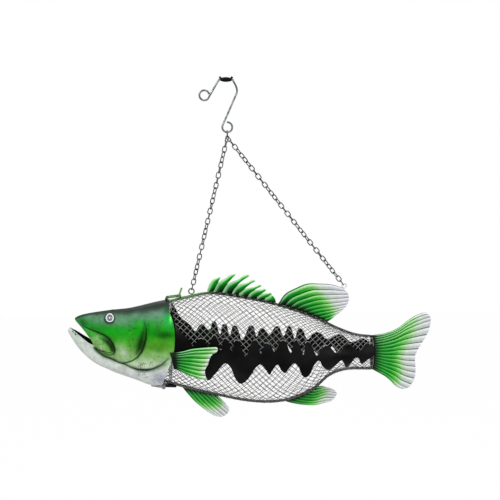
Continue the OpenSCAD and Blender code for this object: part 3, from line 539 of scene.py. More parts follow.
def sheet_grid(name, columns, rows, place, thickness=0.0, offset=0.0, inner=None, **marks):
    """A grid primitive laid out by place(u, v) in millimetres and given a wall.

    marks are attributes of the sheet: name=function(u, v) that gives a number or a colour."""
    deselect()
    bpy.ops.mesh.primitive_grid_add(x_subdivisions=columns, y_subdivisions=rows, size=2)
    piece = bpy.context.object
    piece.name = piece.data.name = name
    mesh = piece.data
    spots = [((v.co.x + 1) / 2, (v.co.y + 1) / 2) for v in mesh.vertices]
    for vertex, spot in zip(mesh.vertices, spots):
        vertex.co = Vector(place(*spot)) * MM
    for mark, rule in marks.items():
        values = [rule(*spot) for spot in spots]
        coloured = isinstance(values[0], tuple)
        layer = mesh.attributes.new(mark, "FLOAT_COLOR" if coloured else "FLOAT", "POINT")
        for item, value in zip(layer.data, values):
            if coloured:
                item.color = (*value, 1)
            else:
                item.value = value
    if thickness:
        wall = piece.modifiers.new("wall", "SOLIDIFY")
        wall.thickness = thickness * MM
        wall.offset = offset
        wall.use_even_offset = False
        if inner:
            mesh.materials.append(inner)
            mesh.materials.append(inner)
            wall.material_offset = 1
        apply_all(piece)
    return piece


def mirrored(piece, name):
    """A copy on the fish's other side."""
    copy = piece.copy()
    copy.data = piece.data.copy()
    copy.name = copy.data.name = name
    scene.collection.objects.link(copy)
    for vertex in copy.data.vertices:
        vertex.co.y = -vertex.co.y
    copy.data.flip_normals()
    return copy


def dress_pair(left, name, body, slot, material, node_name=None):
    """Dresses a left piece and its mirror image, which stand for the nodes of their own sides."""
    right = mirrored(left, name + "_right")
    for piece, side in ((left, "_left"), (right, "_right")):
        dress(piece, body, slot, material, *([node_name + side] if node_name else []))


def bent_wire(name, lines, diameter, closed=False, sides=3):
    """Round wire along lines of points in millimetres, as one mesh."""
    data = bpy.data.curves.new(name, "CURVE")
    data.dimensions = "3D"
    data.bevel_depth = diameter / 2 * MM
    data.bevel_resolution = sides
    data.use_fill_caps = True
    for line in lines:
        spline = data.splines.new("POLY")
        spline.points.add(len(line) - 1)
        for point, spot in zip(spline.points, line):
            point.co = (*(Vector(spot) * MM), 1)
        spline.use_cyclic_u = closed
        spline.use_smooth = True
    piece = bpy.data.objects.new(name, data)
    scene.collection.objects.link(piece)
    deselect()
    bpy.context.view_layer.objects.active = piece
    piece.select_set(True)
    bpy.ops.object.convert(target="MESH")
    return bpy.context.object


# ---- Surroundings ------------------------------------------------------------------------

# How bright the surroundings are where they are mirrored, and as a light; and how far the floor's own
# shade gives way to white where it is seen
MIRRORED_SHARE, AMBIENT, FLOOR_WHITE = 0.4, 0.45, 0.985
FLOOR_Z = -1.15


def seen_white(tree):
    """1 where the surroundings are looked at, a part of that where they are mirrored, else 0."""
    path = node(tree, "ShaderNodeLightPath").outputs
    seen = reckon(tree, "MAXIMUM", path["Is Camera Ray"], path["Is Transmission Ray"])
    return reckon(tree, "MAXIMUM", seen, reckon(tree, "MULTIPLY", path["Is Glossy Ray"], MIRRORED_SHARE))


def backdrop_white():
    """White wherever it is seen or mirrored, and a plain pale surface for everything else."""
    material = bpy.data.materials.new("studio_white")
    material.use_nodes = True
    tree = material.node_tree
    shader = tree.nodes["Principled BSDF"]
    shader.inputs["Base Color"].default_value = (0.8, 0.8, 0.8, 1)
    shader.inputs["Roughness"].default_value = 0.9
    glow = node(tree, "ShaderNodeEmission", {"Color": (1, 1, 1, 1), "Strength": 1.0})
    share = reckon(tree, "MULTIPLY", seen_white(tree), FLOOR_WHITE)
    mixed = node(tree, "ShaderNodeMixShader", {0: share, 1: shader.outputs[0], 2: glow.outputs[0]})
    tree.links.new(mixed.outputs[0], tree.nodes["Material Output"].inputs["Surface"])
    return material


def make_floor():
    deselect()
    bpy.ops.mesh.primitive_plane_add(size=8, location=(0, 0, FLOOR_Z))
    floor = bpy.context.object
    floor.name = "floor"
    floor.data.materials.append(backdrop_white())


def light_world():
    world = bpy.data.worlds.new("studio")
    scene.world = world
    world.use_nodes = True
    tree = world.node_tree
    level = reckon(tree, "MULTIPLY_ADD", seen_white(tree), 1 - AMBIENT, AMBIENT)
    back = tree.nodes["Background"]
    back.inputs["Color"].default_value = (1, 1, 1, 1)
    tree.links.new(level, back.inputs["Strength"])


make_floor()
light_world()


# ---- Hook --------------------------------------------------------------------------------

def arc(cx, cz, radius, start, end, steps):
    """Points of an arc in the XZ plane, from turn start to turn end."""
    turns = (math.radians(mix(start, end, i / steps)) for i in range(steps + 1))
    return [(cx + radius * math.cos(a), 0, cz + radius * math.sin(a)) for a in turns]


HOOK_D, SADDLE_Z, SADDLE_END = 2.8, 3.4, 8.6


def make_hook():
    shank = [(-12.4, SADDLE_Z - 4.6), (-10.6, SADDLE_Z - 1.9), (-SADDLE_END, SADDLE_Z), (0, SADDLE_Z),
             (SADDLE_END, SADDLE_Z), (10.2, SADDLE_Z - 2.2), (12.6, SADDLE_Z - 6.4),
             (14.8, SADDLE_Z - 11.4), (15.5, SADDLE_Z - 15.4), (15, SADDLE_Z - 18.8)]
    middle = [(p.x, 0, p.y) for p in (through(shank, i / 54) for i in range(55))]
    line = arc(-30.4, -18.5, 6.9, 14, 318, 44) + middle + arc(1.6, -62.5, 7, 157, 455, 48)
    dress(bent_wire("hook_wire", [line], HOOK_D), "hanger", "hook_steel", HOOK_STEEL, "hook")


make_hook()


# ---- Rods, hoop and wire cloth -----------------------------------------------------------

def steps_between(a, b, count):
    return [mix(a, b, i / count) for i in range(count + 1)]


def make_rods():
    spine = [(x, 0, back_z(x) - ROD_D / 2) for x in steps_between(X_MOUTH + 1, X_TAIL, 75)]
    keel = [(x, 0, belly_z(x) + ROD_D / 2)
            for x in steps_between(X_MOUTH - THROAT_REACH + 3, X_TAIL, 77)]
    dress(bent_wire("spine_rod_wire", [spine], ROD_D), "fish", "frame_black", SPINE_ENAMEL, "spine_rod")
    dress(bent_wire("keel_rod_wire", [keel], ROD_D), "fish", "frame_black", ROD_BLACK, "keel_rod")


PITCH, WIRE_D, WEAVE = 6.35, 0.78, 0.34


def trace_wire(seed, hand, way):
    """One wire of the cloth from the body's mid-line: every half pitch a point, woven over and under."""
    slant = math.sqrt(0.5)
    stride = PITCH / 2
    x, turn, travelled, points = seed, 0.0, 0, []
    while abs(turn) < 88 and X_MOUTH - 120 < x < X_TAIL + 120:
        held = min(max(x, mouth_x(turn)), X_TAIL)
        if x == held:
            lift = hand * WEAVE * math.cos(math.pi * travelled / 2)
            y, z = body_point(x, turn, lift)
            points.append((x, -y, z))
        elif points:
            return points
        a, b = body_point(held, turn), body_point(held, turn + 0.5 * hand * way)
        per_degree = math.dist(a, b) / 0.5
        turn += hand * way * slant * stride / per_degree
        x += way * slant * stride
        travelled += 1
    if points and mouth_x(turn) < x < X_TAIL:
        points += fold_over(x, 1 if turn > 0 else -1)
    return points


def fold_over(x, up):
    """The wire's end, bent over the rod."""
    middle = back_z(x) - ROD_D / 2 if up > 0 else belly_z(x) + ROD_D / 2
    reach = ROD_D / 2 + WIRE_D / 2 + WELD
    return [(x, -reach * math.cos(a), middle + up * reach * math.sin(a))
            for a in (math.radians(d) for d in (18, 42, 64))]


def make_cloth():
    wires = []
    spacing = PITCH * math.sqrt(2)
    count = int((X_TAIL - X_MOUTH + 220) / spacing)
    for hand in (1, -1):
        for i in range(count + 1):
            seed = X_MOUTH - 110 + spacing * i
            behind = trace_wire(seed, hand, -1)
            ahead = trace_wire(seed, hand, 1)
            wire = behind[:0:-1] + ahead if behind and ahead else behind or ahead
            if len(wire) > 2:
                wires.append(wire)
    for place in (lambda turn: mouth_x(turn) + 0.6, lambda turn: X_TAIL - 0.6):
        edge = [(place(turn), *body_point(place(turn), turn, -0.2)) for turn in range(-88, 89, 8)]
        wires.append([(px, -py, pz) for px, py, pz in edge])
    left = bent_wire("wire_cloth_left", wires, WIRE_D, sides=0)
    dress_pair(left, "wire_cloth", "fish", "wire_cloth", CLOTH_WIRE, "mesh")


HOOP_D, MESH_T, HOOP_ROOM = 3, 0.9, 0.4


def make_hoop():
    x = X_MOUTH + 2
    inset = MESH_T + HOOP_D / 2 + HOOP_ROOM
    width, middle, half = body_sizes(x)
    half -= ROD_D / 2 + HOOP_D / 2 + WELD
    width += SEAT_Y - inset
    ring = []
    for i in range(72):
        a = math.radians(i * 5)
        c = math.cos(a)
        ring.append((x, width * math.copysign(abs(c) ** BODY_LENS, c), middle + half * math.sin(a)))
    hoop = bent_wire("hoop_wire", [ring], HOOP_D, closed=True)
    dress(hoop, "fish", "frame_black", HOOP_GREY, "front_hoop")


make_rods()
make_hoop()
make_cloth()


# ---- Side stripes ------------------------------------------------------------------------

STRIPE_TOP = [(-80, -17), (-78, -21.5), (-76, -26.5), (-74, -31.5), (-72, -37), (-70, -41), (-66, -46.5),
              (-60, -51), (-54, -57), (-47, -65.5), (-41, -57), (-37, -55), (-33, -57), (-26, -66),
              (-21, -52.5), (-18, -51), (-15, -54), (-9.5, -72), (-6, -57), (-2.5, -56), (1.5, -59.5),
              (5, -74.5), (9.5, -59.5), (12.5, -58), (17, -61), (24.5, -81), (34, -61), (39, -58.5),
              (42.5, -61.5), (46, -76.5), (51, -64.5), (55.5, -63), (61, -67), (66, -74.5), (73.5, -62),
              (78, -59.5), (82, -63), (88, -76.5), (93, -62.5), (97, -59.5), (100.5, -66), (105.5, -80),
              (109, -65), (112.5, -63), (117, -66.5), (124.5, -81), (132, -73), (138, -69),
              (144.5, -71.5), (152, -79), (160, -77.5), (167, -72.5), (174, -71), (180.5, -76),
              (187, -81), (194, -79), (202, -73.5), (213, -78)]
STRIPE_LOW = [(-80, -66), (-76, -72), (-71, -76), (-62, -84), (-46, -95), (-34, -103), (-28, -117),
              (-18, -107), (-9, -95), (-3, -90), (4, -96), (12, -115.5), (19.5, -121.5), (28.5, -114),
              (38.5, -97.5), (46, -92), (52.5, -98.5), (58.5, -107), (63.5, -98.5), (70, -92.5),
              (74.5, -100), (80.5, -104.5), (87.5, -95), (93.5, -90.5), (99, -96.5), (104, -108),
              (110, -112), (116, -106.5), (121, -94.5), (128.5, -88.5), (133.5, -97), (142, -103),
              (149.5, -100), (162, -90), (168, -100), (173, -102), (177, -95.5), (182.5, -89.5),
              (189, -92), (193, -100), (199.5, -97), (213, -90.5)]


def stripe_point(x, v, lift):
    """A point of the left stripe, v from its lower to its upper edge."""
    z = mix(smooth(STRIPE_LOW, x), smooth(STRIPE_TOP, x), v) - DROP
    _, middle, half = body_sizes(x)
    y, z = body_point(x, turn_at(z, middle - half, middle + half), lift)
    return x, -y, z


def make_stripes():
    lift = 0.5 + WIRE_D / 2
    first, last = STRIPE_TOP[0][0], STRIPE_TOP[-1][0]
    left = sheet_grid("side_stripe_left", 285, 14,
                      lambda u, v: stripe_point(mix(first, last, u), v, lift), thickness=1.0, offset=1)
    smooth_shade(left)
    dress_pair(left, "side_stripe", "fish", "stripe_black", STRIPE_BLACK, "stripe")
    # A pale rim along the rounded tops of the lobes: worn paint, and a painted highlight where these
    # upward edges catch the light
    tops = [b[0] for a, b, c in zip(STRIPE_TOP, STRIPE_TOP[1:], STRIPE_TOP[2:])
            if b[1] > max(a[1], c[1])]
    steps = (-3.4, -2.2, -1.1, 0, 1.1, 2.2, 3.4)
    worn_and_lit = [[stripe_point(x + step, 1, lift + 0.55) for step in steps] for x in tops]
    rim = bent_wire("stripe_rim_left", worn_and_lit, 1.1, sides=1)
    dress_pair(rim, "stripe_rim", "fish", "pin_steel", WORN_AND_LIT_EDGE)


make_stripes()


# ---- Fins --------------------------------------------------------------------------------

# The share of a ray at which its crest lies, and the crest's height over the fold in millimetres
FIN_T, CREST, PLEAT_RISE = 1.0, 0.25, 1.7


def pleat(share):
    """Height of the pleated sheet across one ray: a sharp fold, then a crest and a long flank."""
    return share / CREST if share < CREST else 1 - ((share - CREST) / (1 - CREST)) ** 1.4


def fin(name, root, front, edge, rear, rays, settle, bend=0.0, upward=False, swing=0.8,
        reach=lambda u, v: v):
    """A pleated fin between four smooth lines: root, front ray, outer edge and rear ray.

    settle(x, z) gives the fin's drawn point in the frame, as (x, y, z). The rays are lit from above,
    so they are counted from the rear where the front ray is the lower one. A higher swing lets fewer
    rays follow the front one's bow; reach(u, v) carries the colours from the root to the edge."""
    def patch(u, v):
        side = mix(through(root, u), through(edge, u), v)
        front_bow = (through(front, v) - mix(through(front, 0), through(front, 1), v)) * (1 - u) ** swing
        rear_bow = through(rear, v) - mix(through(rear, 0), through(rear, 1), v)
        return side + mix(front_bow, rear_bow, u)

    def across(u, v):
        return rays * ((1 - u) if upward else u) - 0.001

    def place(u, v):
        spot = patch(u, v)
        rise = PLEAT_RISE * (pleat(across(u, v) % 1) - 0.5) * min(1, 0.3 + 2.0 * v)
        x, y, z = settle(spot.x, spot.y)
        return x, y - rise - bend * v * v, z

    piece = sheet_grid(name, rays * 10, 26, place, thickness=FIN_T, offset=0,
                       reach=reach, across=across,
                       gleam=lambda u, v: max(0.22, 1 - 1.9 * (1 - u if upward else u), 1.7 * v - 0.55))
    smooth_shade(piece, 60)
    return piece


def on_back(x0):
    return lambda x, z: (x0 + x, 0, back_z(x0 + x) + WELD + z)


def on_belly(x0):
    return lambda x, z: (x0 + x, 0, belly_z(x0 + x) - WELD - z)


def make_soft_dorsal():
    piece = fin(
        "soft_dorsal_sheet", root=[(0, 0), (24, 0), (48, 0), (72, 0)],
        front=[(0, 0), (10, 17), (26, 31), (42, 43), (59, 50), (75, 57), (86, 59.5), (94, 60)],
        edge=[(94, 60), (101, 56), (103, 50), (102, 42), (98, 34), (91, 24.5), (82, 13)],
        rear=[(72, 0), (77, 6), (82, 13)], rays=9, settle=on_back(75), bend=1.5, swing=2.2,
        reach=lambda u, v: v * (1.3 - 0.42 * u) - 0.05 * u)
    dress(piece, "fish", "fin_green", FIN_ENAMEL, "soft_dorsal_fin")


# Each spine's leading edge and rear edge, from the rod to the tip
SPINES = [
    ([(0, 0), (1, 5), (4.4, 12.3), (8.6, 17.3), (18.5, 21.5)],
     [(8, 0), (11.4, 6), (15, 13.5), (18.5, 21.5)]),
    ([(8, 0), (13, 11), (17.8, 15), (27, 21.5), (34, 27.4), (40.5, 29.5)],
     [(21, 0), (24.5, 7), (28, 13), (33.5, 20.5), (40.5, 29.5)]),
    ([(21, 0), (27, 11), (33.5, 16), (45.5, 23), (52, 29.2), (57.5, 33)],
     [(35, 0), (38, 7), (43.5, 14.5), (50, 22), (61, 31)]),
    ([(35, 0), (40, 9.5), (47, 15.6), (57.5, 19.7), (65.5, 27)],
     [(45, 0), (47, 4), (51, 8), (61.8, 19.5), (69.7, 24.8)]),
    ([(45, 0), (50, 6.5), (55.5, 10.7), (67.5, 15.5), (76, 20.7)],
     [(58, 0), (60, 4), (63.5, 8), (70.5, 14), (78.5, 20)]),
    ([(58, 0), (62, 6), (67.5, 10.5), (77, 13.5), (82.5, 16.7)],
     [(71, 0), (73, 3.6), (76.5, 6.7), (81, 11), (85, 15)]),
    ([(71, 0), (75, 4.8), (81, 8.5), (91, 12.7)], [(82, 0), (83.5, 2.6), (85.4, 4.8), (93.6, 11.5)]),
    ([(82, 0), (84, 3.6), (88.3, 6.2), (93.3, 9.6)], [(99, 0), (99, 1.5), (98.3, 4.5), (95, 8.6)])]


def make_spiny_dorsal():
    """Curved spines that lean back, each lapped over the one behind it."""
    settle = on_back(-28)
    leaves = []
    for i, (lead, rear) in enumerate(SPINES):
        bare_tip = 0.9 if i in (2, 3) else 0.25

        def place(u, v, lead=lead, rear=rear):
            spot = mix(through(lead, v), through(rear, v), u)
            x, y, z = settle(spot.x, spot.y)
            crown = 1.7 * math.sin(math.pi * u) ** 0.7 * min(1, 3 * v, 4 * (1.08 - v))
            return x, y + 0.9 * (0.5 - u) - crown + 0.35, z

        leaves.append(sheet_grid(
            "spine", 14, 22, place, thickness=0.9, offset=0,
            reach=lambda u, v, bare=bare_tip: 0.1 + 0.36 * v + bare * max(0, v - 0.66) - 0.16 * u,
            across=lambda u, v: 0.14 + 0.78 * u, gleam=lambda u, v: 1.0))
    deselect()
    for leaf in leaves:
        leaf.select_set(True)
    bpy.context.view_layer.objects.active = leaves[0]
    bpy.ops.object.join()
    piece = leaves[0]
    piece.name = piece.data.name = "spiny_dorsal_sheet"
    smooth_shade(piece, 60)
    dress(piece, "fish", "fin_green", FIN_ENAMEL, "spiny_dorsal_fin")


TAIL_LEN, TAIL_DRAWN = 84, 86


def make_tail():
    _, middle, half = body_sizes(X_TAIL)
    root = half + ROD_D / 2
    base = X_TAIL + 2.1
    piece = fin(
        "tail_sheet", root=[(0, root), (0, root / 3), (0, -root / 3), (0, -root)],
        front=[(0, root), (17, 28), (36, 35), (52, 47), (63, 54), (73, 58), (79, 58.5)],
        edge=[(79, 58.5), (83, 56), (86, 51), (86, 44), (83, 31), (76, 18), (69, 6), (64, -5), (64, -15),
              (65, -25), (64.5, -35), (61, -46), (54, -54), (45, -56)],
        rear=[(0, -root), (18, -36), (27, -43), (35, -51), (45, -56)],
        rays=15, settle=lambda x, z: (base + x * TAIL_LEN / TAIL_DRAWN, 0, middle + z),
        bend=2.0, swing=2.2)
    dress(piece, "fish", "fin_green", FIN_ENAMEL, "tail_fin")


def make_anal():
    piece = fin(
        "anal_sheet", root=[(0, 0), (16, 0), (32, 0), (48, 0)],
        front=[(0, 0), (7, 4), (16, 9), (24, 13.5), (32, 18), (42, 24), (52, 31), (60, 36.5), (66, 39)],
        edge=[(66, 39), (71, 38.5), (75, 35), (76, 30.5), (70, 22.5), (60, 13.5)],
        rear=[(48, 0), (54, 6), (60, 13.5)], rays=7, settle=on_belly(86), bend=1.0, upward=True)
    piece.data.flip_normals()
    dress(piece, "fish", "fin_green", FIN_ENAMEL, "anal_fin")


def make_pelvic():
    piece = fin(
        "pelvic_sheet", root=[(0, 0), (17, 0), (34, 0), (51, 0)],
        front=[(0, 0), (7, 7), (16, 15), (25, 21), (36, 27), (45, 30.5)],
        edge=[(45, 30.5), (51, 31), (57, 30), (63, 26), (67, 20), (67, 15), (63, 10)],
        rear=[(51, 0), (57, 5), (63, 10)], rays=7, settle=on_belly(-65), bend=1.0, upward=True)
    piece.data.flip_normals()
    dress(piece, "fish", "fin_green", FIN_ENAMEL, "pelvic_fin")


def make_pectorals():
    lean = math.asin(9 / 67)
    y0 = head_point(-74, 0)[0] + WELD + 0.6

    def settle(x, z):
        return -80 + x * math.cos(lean), -(y0 + x * math.sin(lean)), -74 - DROP + z

    left = fin(
        "pectoral_sheet_left", root=[(0, 0), (2, -7), (3.5, -15), (5, -22)],
        front=[(0, 0), (16, 2), (31, 6), (47, 8), (60, 9), (65, 9)],
        edge=[(65, 9), (67, 7), (65, 3), (59, -1), (56, -6), (54, -11), (53, -15), (51, -19), (49, -23),
              (49, -28), (50, -33), (52, -37)],
        rear=[(5, -22), (15, -26), (26, -31), (42, -36), (52, -37)], rays=8, settle=settle,
        reach=lambda u, v: 0.86 * v - 0.1)
    dress_pair(left, "pectoral_sheet", "head", "fin_green", FIN_ENAMEL, "pectoral_fin")


make_soft_dorsal()
make_spiny_dorsal()
make_tail()
make_anal()
make_pelvic()
make_pectorals()


# ---- Head --------------------------------------------------------------------------------

MOUTH = [(-218, -34.5), (-215.5, -37.5), (-209, -44), (-203, -51), (-195, -61.5), (-191.5, -67),
         (-191, -70.5), (-198, -67.5), (-207, -61), (-218, -52.5), (-226, -47.5), (-228, -50)]
# Share of the way up the mouth's edge at which its corner lies, and how far below it the rows of the
# lower jaw dip at most, in degrees
CORNER_ROW = 5 / 11
CORNER_SPAN, LOWER_DIP = 0.09, 9
GILL_EDGE = [(-84, -8.5), (-80, -22), (-76, -31), (-73.5, -43), (-73, -56), (-74, -70), (-77, -84),
             (-84, -103), (-90, -119), (-93, -131)]
JAW_PLATE = [(-201, -49.5), (-189, -58), (-176, -66.5), (-167, -74.5)]
# Pressed lines: place, half-width of the paint in them and its strength; that dark paint is painted
# shade in the pressed grooves
JAW_LINE = [(-209, -38, 0.6, 0.4), (-204, -44, 0.8, 0.8), (-196.5, -47.5, 1, 0.9), (-185.5, -51, 1.2, 1),
            (-175.5, -54.5, 1.5, 1), (-167, -59.5, 1.8, 1), (-161.5, -67, 2, 1), (-159, -75, 1.9, 1),
            (-160.5, -81.5, 1.2, 0.8), (-166.5, -84, 0.9, 0.5), (-174, -82.5, 0.8, 0.3)]
GILL_LINE = [(-189, -75, 1.6, 0.85), (-184.5, -80.5, 1.8, 0.7), (-176.5, -86, 1.7, 0.75),
             (-164, -90, 1.1, 0.95), (-153.5, -94.5, 1.2, 0.95), (-145, -96, 1.2, 0.9),
             (-136.5, -100.5, 1.2, 0.85), (-127, -103, 1.6, 0.95), (-114.5, -102.5, 1.8, 1),
             (-104, -99.5, 1.4, 0.9), (-92, -93, 1.2, 0.7), (-82.5, -83.5, 1, 0.35)]
CHEEK_LINE = [(-116.5, -34, 1.1, 0.5), (-114, -39.5, 0.9, 0.7), (-113, -46, 1.1, 0.9),
              (-113.5, -55, 1.5, 1), (-116, -64.5, 1.7, 1), (-119.5, -74.5, 1.5, 1),
              (-126, -83.5, 1.1, 0.9), (-133.5, -89.5, 1, 0.85), (-141, -93, 1.2, 0.8),
              (-148, -94.5, 1, 0.6)]
# Broad soft painted shade beside the pressed lines
SHADES = [
    [(-117, -42, 3, 0.3), (-118, -50, 3.6, 0.65), (-120, -60, 4.6, 0.9), (-122.5, -69, 4.6, 0.85),
     (-127, -78, 3, 0.4)],
    [(-180, -58, 2.5, 0.2), (-171, -62, 3, 0.85), (-164.5, -69, 3.2, 1), (-162.5, -76, 2.4, 0.8)],
    [(-186, -76, 4, 0.45), (-176, -84, 4.5, 0.5), (-164, -89, 3.5, 0.4), (-140, -97, 3, 0.25),
     (-120, -103, 3.5, 0.4), (-104, -101, 3, 0.35), (-88, -92, 3.5, 0.3)]]
EYE_AT, EYE_R, EYE_LEAN = (-166, -31.5), 6.3, 0.85
BROW_AT = (-166, -26)


def to_line(x, z, line):
    """Distance from a point to a broken line."""
    best = 1e9
    for (ax, az, *_), (bx, bz, *_) in zip(line, line[1:]):
        dx, dz = bx - ax, bz - az
        t = min(1, max(0, ((x - ax) * dx + (z - az) * dz) / (dx * dx + dz * dz)))
        best = min(best, math.hypot(x - ax - t * dx, z - az - t * dz))
    return best


def near(distance, reach):
    return math.exp(-(distance / reach) ** 2)


# Height and reach of what is pressed into the head
PLATE, BROW, GROOVE = (1.6, 8), (1.5, 9), (2.2, 3.4)


def relief(x, z):
    """Height of the pressed detail over the head's plain form."""
    grooves = max(near(to_line(x, z, line), GROOVE[1]) for line in (JAW_LINE, GILL_LINE, CHEEK_LINE))
    return (PLATE[0] * near(to_line(x, z, JAW_PLATE), PLATE[1])
            + BROW[0] * near(math.hypot(x - BROW_AT[0], z - BROW_AT[1]), BROW[1]) - GROOVE[0] * grooves)


# Airbrush colours by height, and strokes in the order they are sprayed: colour, centre, reach along and
# across, strength; a few strokes are painted highlight and painted shade, marked below
BASE_LEVELS = [
    (-135, (196, 198, 202)), (-112, (205, 211, 207)), (-100, (194, 209, 188)), (-90, (166, 196, 152)),
    (-82, (132, 178, 108)), (-72, (96, 160, 62)), (-62, (60, 156, 34)), (-52, (30, 150, 18)),
    (-44, (20, 146, 24)), (-36, (44, 138, 58)), (-28, (86, 134, 98)), (-20, (90, 128, 104)),
    (-13, (66, 92, 74)), (-6, (44, 58, 48))]
STROKES = [
    ((92, 128, 106), -170, -32, 22, 10, 0.95),
    ((90, 134, 104), -146, -34, 12, 8, 0.8),
    ((18, 150, 24), -160, -49, 26, 6, 0.7),
    ((22, 104, 36), -206, -40, 8, 8, 0.95),
    ((84, 164, 74), -199, -52, 5, 5, 0.6),
    ((116, 150, 128), -128, -25, 8, 4, 0.75),
    ((126, 156, 138), -102, -22, 10, 4, 0.75),
    ((92, 140, 110), -104, -28, 14, 6, 0.6),
    ((0, 156, 0), -122, -44, 5.5, 8, 0.95),
    ((0, 138, 6), -98, -40, 16, 7, 0.9),
    ((0, 130, 4), -99, -45, 12, 6, 0.75),
    # Emerald paint at the gill cover's upper rear, brightened into a painted highlight
    ((2, 164, 54), -81, -31, 7, 9, 0.95),
    ((18, 84, 42), -82, -16, 6, 5, 0.8),
    # A painted highlight: a pale glint on the gill cover's upper rear
    ((150, 250, 120), -79, -29, 2, 5, 0.8),
    ((0, 70, 0), -88, -50, 13, 5, 0.85),
    ((66, 136, 26), -94, -64, 20, 9, 0.75),
    ((44, 116, 30), -96, -71, 5, 3, 0.4),
    ((132, 178, 104), -100, -80, 14, 6, 0.7),
    ((188, 210, 174), -114, -92, 12, 6.5, 0.9),
    # Painted shade under the pectoral fin's root
    ((128, 172, 118), -88, -84, 6, 6, 0.6),
    ((150, 182, 140), -150, -72, 8, 9, 0.7),
    ((178, 192, 172), -144, -78, 7, 5.5, 0.85),
    ((138, 198, 108), -137, -87, 9, 4, 0.75),
    ((56, 130, 40), -130, -62, 6, 10, 0.7),
    ((152, 190, 132), -186, -62, 9, 7, 0.9),
    ((156, 188, 136), -178, -72, 8, 6, 0.95),
    ((120, 196, 86), -169, -80, 5, 3.5, 0.9),
]


def spray(colour, over, strength):
    return tuple(mix(c, o, strength) for c, o in zip(colour, over))


def cover(x, z, line):
    """How much paint a tapering line leaves at a point."""
    most = 0
    for (ax, az, aw, fa), (bx, bz, bw, fb) in zip(line, line[1:]):
        dx, dz = bx - ax, bz - az
        t = min(1, max(0, ((x - ax) * dx + (z - az) * dz) / (dx * dx + dz * dz)))
        away = math.hypot(x - ax - t * dx, z - az - t * dz)
        most = max(most, mix(fa, fb, t) * near(away, mix(aw, bw, t)))
    return most


def head_paint(x, z, lower):
    """The airbrushed colour at a point of the head's side view, on the lower jaw or above it, with
    painted shade and highlights laid in.
    """
    tilt = z - 0.06 * (x + 150)
    last = len(BASE_LEVELS) - 2
    level = next((k for k in range(last) if tilt < BASE_LEVELS[k + 1][0]), last)
    (low, low_colour), (high, high_colour) = BASE_LEVELS[level:level + 2]
    colour = spray(low_colour, high_colour, min(1, max(0, (tilt - low) / (high - low))))
    for tint, cx, cz, rx, rz, strength in STROKES:
        colour = spray(colour, tint, strength * math.exp(-((x - cx) / rx) ** 2 - ((z - cz) / rz) ** 2))
    # The lower jaw is sprayed pale, below the line that runs back from the mouth's corner
    jaw_line = smooth([(-229, -44), (-205, -58), (-188, -73), (-164, -90), (-127, -103), (-86, -98)], x)
    pale = min(1, max(0, (jaw_line - z) / 7 + 0.2, (-186 - x) / 6 if lower else 0))
    colour = spray(colour, (206, 212, 208), pale * 0.95)
    colour = spray(colour, (158, 158, 182), 0.75 * near(x + 92, 12) * near(z + 116, 11))
    # Painted shade: broad beside the pressed lines, and dark in their grooves
    for line in SHADES:
        colour = spray(colour, (0, 36, 0), cover(x, z, line))
    for line in (JAW_LINE, GILL_LINE, CHEEK_LINE):
        colour = spray(colour, (4, 20, 4), 0.95 * cover(x, z, line))
    # Painted shadow in a ring round the raised eye
    around_eye = math.hypot(x - EYE_AT[0] + 0.6, (z - EYE_AT[1] + 0.8) / EYE_LEAN)
    colour = spray(colour, (30, 44, 36), 0.85 * near(around_eye - 6.4, 2))
    ridge = near(smooth(HEAD_TOP, x) - z, mix(2.4, 8.5, min(1, max(0, (x + 190) / 90))))
    colour = spray(colour, (26, 36, 30), 0.9 * ridge)
    return linear(*colour)


def edge_spot(line, t):
    """A point of the mouth's or gill's edge with the turn at which it lies."""
    spot = t * (len(line) - 1)
    i = min(len(line) - 2, int(spot))
    q = mix(Vector(line[i]), Vector(line[i + 1]), spot - i)
    return q.x, 90 if t <= 0 else -90 if t >= 1 else head_turn(q.x, q.y)


def make_head():
    columns, rows = 150, 140

    def spot(u, v):
        mouth, gill = edge_spot(MOUTH, 1 - v), edge_spot(GILL_EDGE, 1 - v)
        # Rows of the lower jaw dip under the mouth's corner before they run back
        below = max(0, CORNER_ROW - v) / CORNER_SPAN
        dip = LOWER_DIP * min(1, below, v / 0.1) * (1 - math.exp(-u / 0.045)) * (1 - u) ** 2
        sunk = 1 - (1 - u) ** (1 + 2.2 * min(1, max(0, below - 1)))
        x, turn = mix(mouth[0], gill[0], u), max(-90, mix(mouth[1], gill[1], sunk) - dip)
        return x, turn, head_point(x, turn)[1] + DROP

    def place(u, v):
        x, turn, z = spot(u, v)
        calm = min(1, min(v, 1 - v) * 28 / 3) * min(1, min(u, 1 - u) * 26 / 2)
        y, height = head_point(x, turn, calm * relief(x, z))
        return x, -max(WELD, y), height

    def paint(u, v):
        x, turn, z = spot(u, v)
        return head_paint(x, z, v < CORNER_ROW)

    left = sheet_grid("head_shell_left", columns, rows, place, thickness=HEAD_T, offset=-1,
                      inner=HEAD_INSIDE, paint=paint)
    left.data.materials[0] = HEAD_ENAMEL
    smooth_shade(left, 50)
    dress_pair(left, "head_shell", "head", "head_green", None, "head")


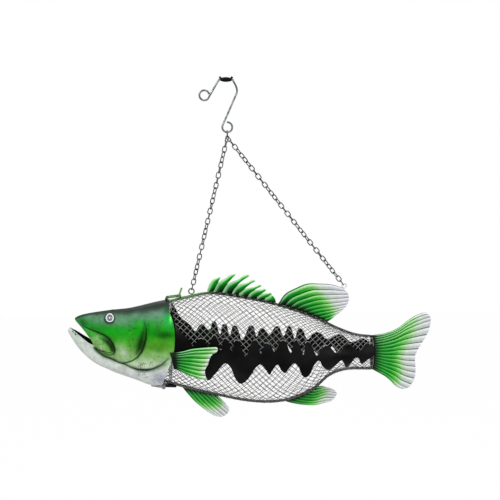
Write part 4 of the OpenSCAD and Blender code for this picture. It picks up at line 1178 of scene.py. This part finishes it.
def eye_enamel():
    """A white ring, a dark iris and a white glint, by the distance from the eye's centre."""
    coat = Coat("eye_enamel", specular=0.4)
    tree = coat.tree
    out = coat.attribute("radius", "Fac")
    rings = ramp(tree, out, [
        (0.0, linear(232, 234, 236)), (0.14, linear(226, 229, 232)), (0.22, linear(58, 60, 68)),
        (0.34, linear(114, 116, 124)), (0.6, linear(96, 98, 106)), (0.68, linear(30, 32, 36)),
        (0.75, linear(226, 230, 230)), (0.9, linear(232, 235, 234)), (0.97, linear(38, 42, 40))])
    cloudy = use(tree, MOTTLE, Place=coat.place, Colour=rings, Scale=500.0, Amount=0.08)
    return coat.colour(cloudy["Colour"]).finish(0.22)


def make_eyes():
    def disc(u, v):
        a, b = 2 * u - 1, 2 * v - 1
        return a * math.sqrt(1 - b * b / 2), b * math.sqrt(1 - a * a / 2)

    def place(u, v):
        a, b = disc(u, v)
        x, z = EYE_AT[0] + EYE_R * a, EYE_AT[1] + EYE_R * EYE_LEAN * b
        radius = math.hypot(a, b)
        dome = 0.8 + 0.4 * near(radius - 0.75, 0.16) + 0.6 * near(radius, 0.3)
        y, height = head_point(x, head_turn(x, z), relief(x, z) + 0.5 + dome)
        return x, -y, height

    left = sheet_grid("eye_disc_left", 24, 24, place, thickness=1.0, offset=-1,
                      radius=lambda u, v: math.hypot(*disc(u, v)))
    smooth_shade(left, 60)
    dress_pair(left, "eye_disc", "head", "eye_white", eye_enamel(), "eye")


make_head()
make_eyes()


# ---- Pieces whose exact shape comes with the frame ---------------------------------------

for name, finish in {
    "hook_saddle": STRIPE_BLACK, "joining_link": CHAIN_STEEL, "front_chain": CHAIN_STEEL,
    "rear_chain": CHAIN_STEEL, "front_eyelet": SPRAYED_GREEN, "rear_eyelet": SPRAYED_WHITE,
    "tail_plate": INNER_BLACK, "head_bulkhead": INNER_BLACK, "hinge_leaf_body": HINGE_BLACK,
    "hinge_leaf_head": THROAT_GREY, "hinge_pin": PIN_STEEL, "latch_bracket": SPRAYED_GREEN,
    "latch_wire": SPRAYED_GREEN, "latch_keeper": HINGE_BLACK,
}.items():
    coat_node(name, finish)
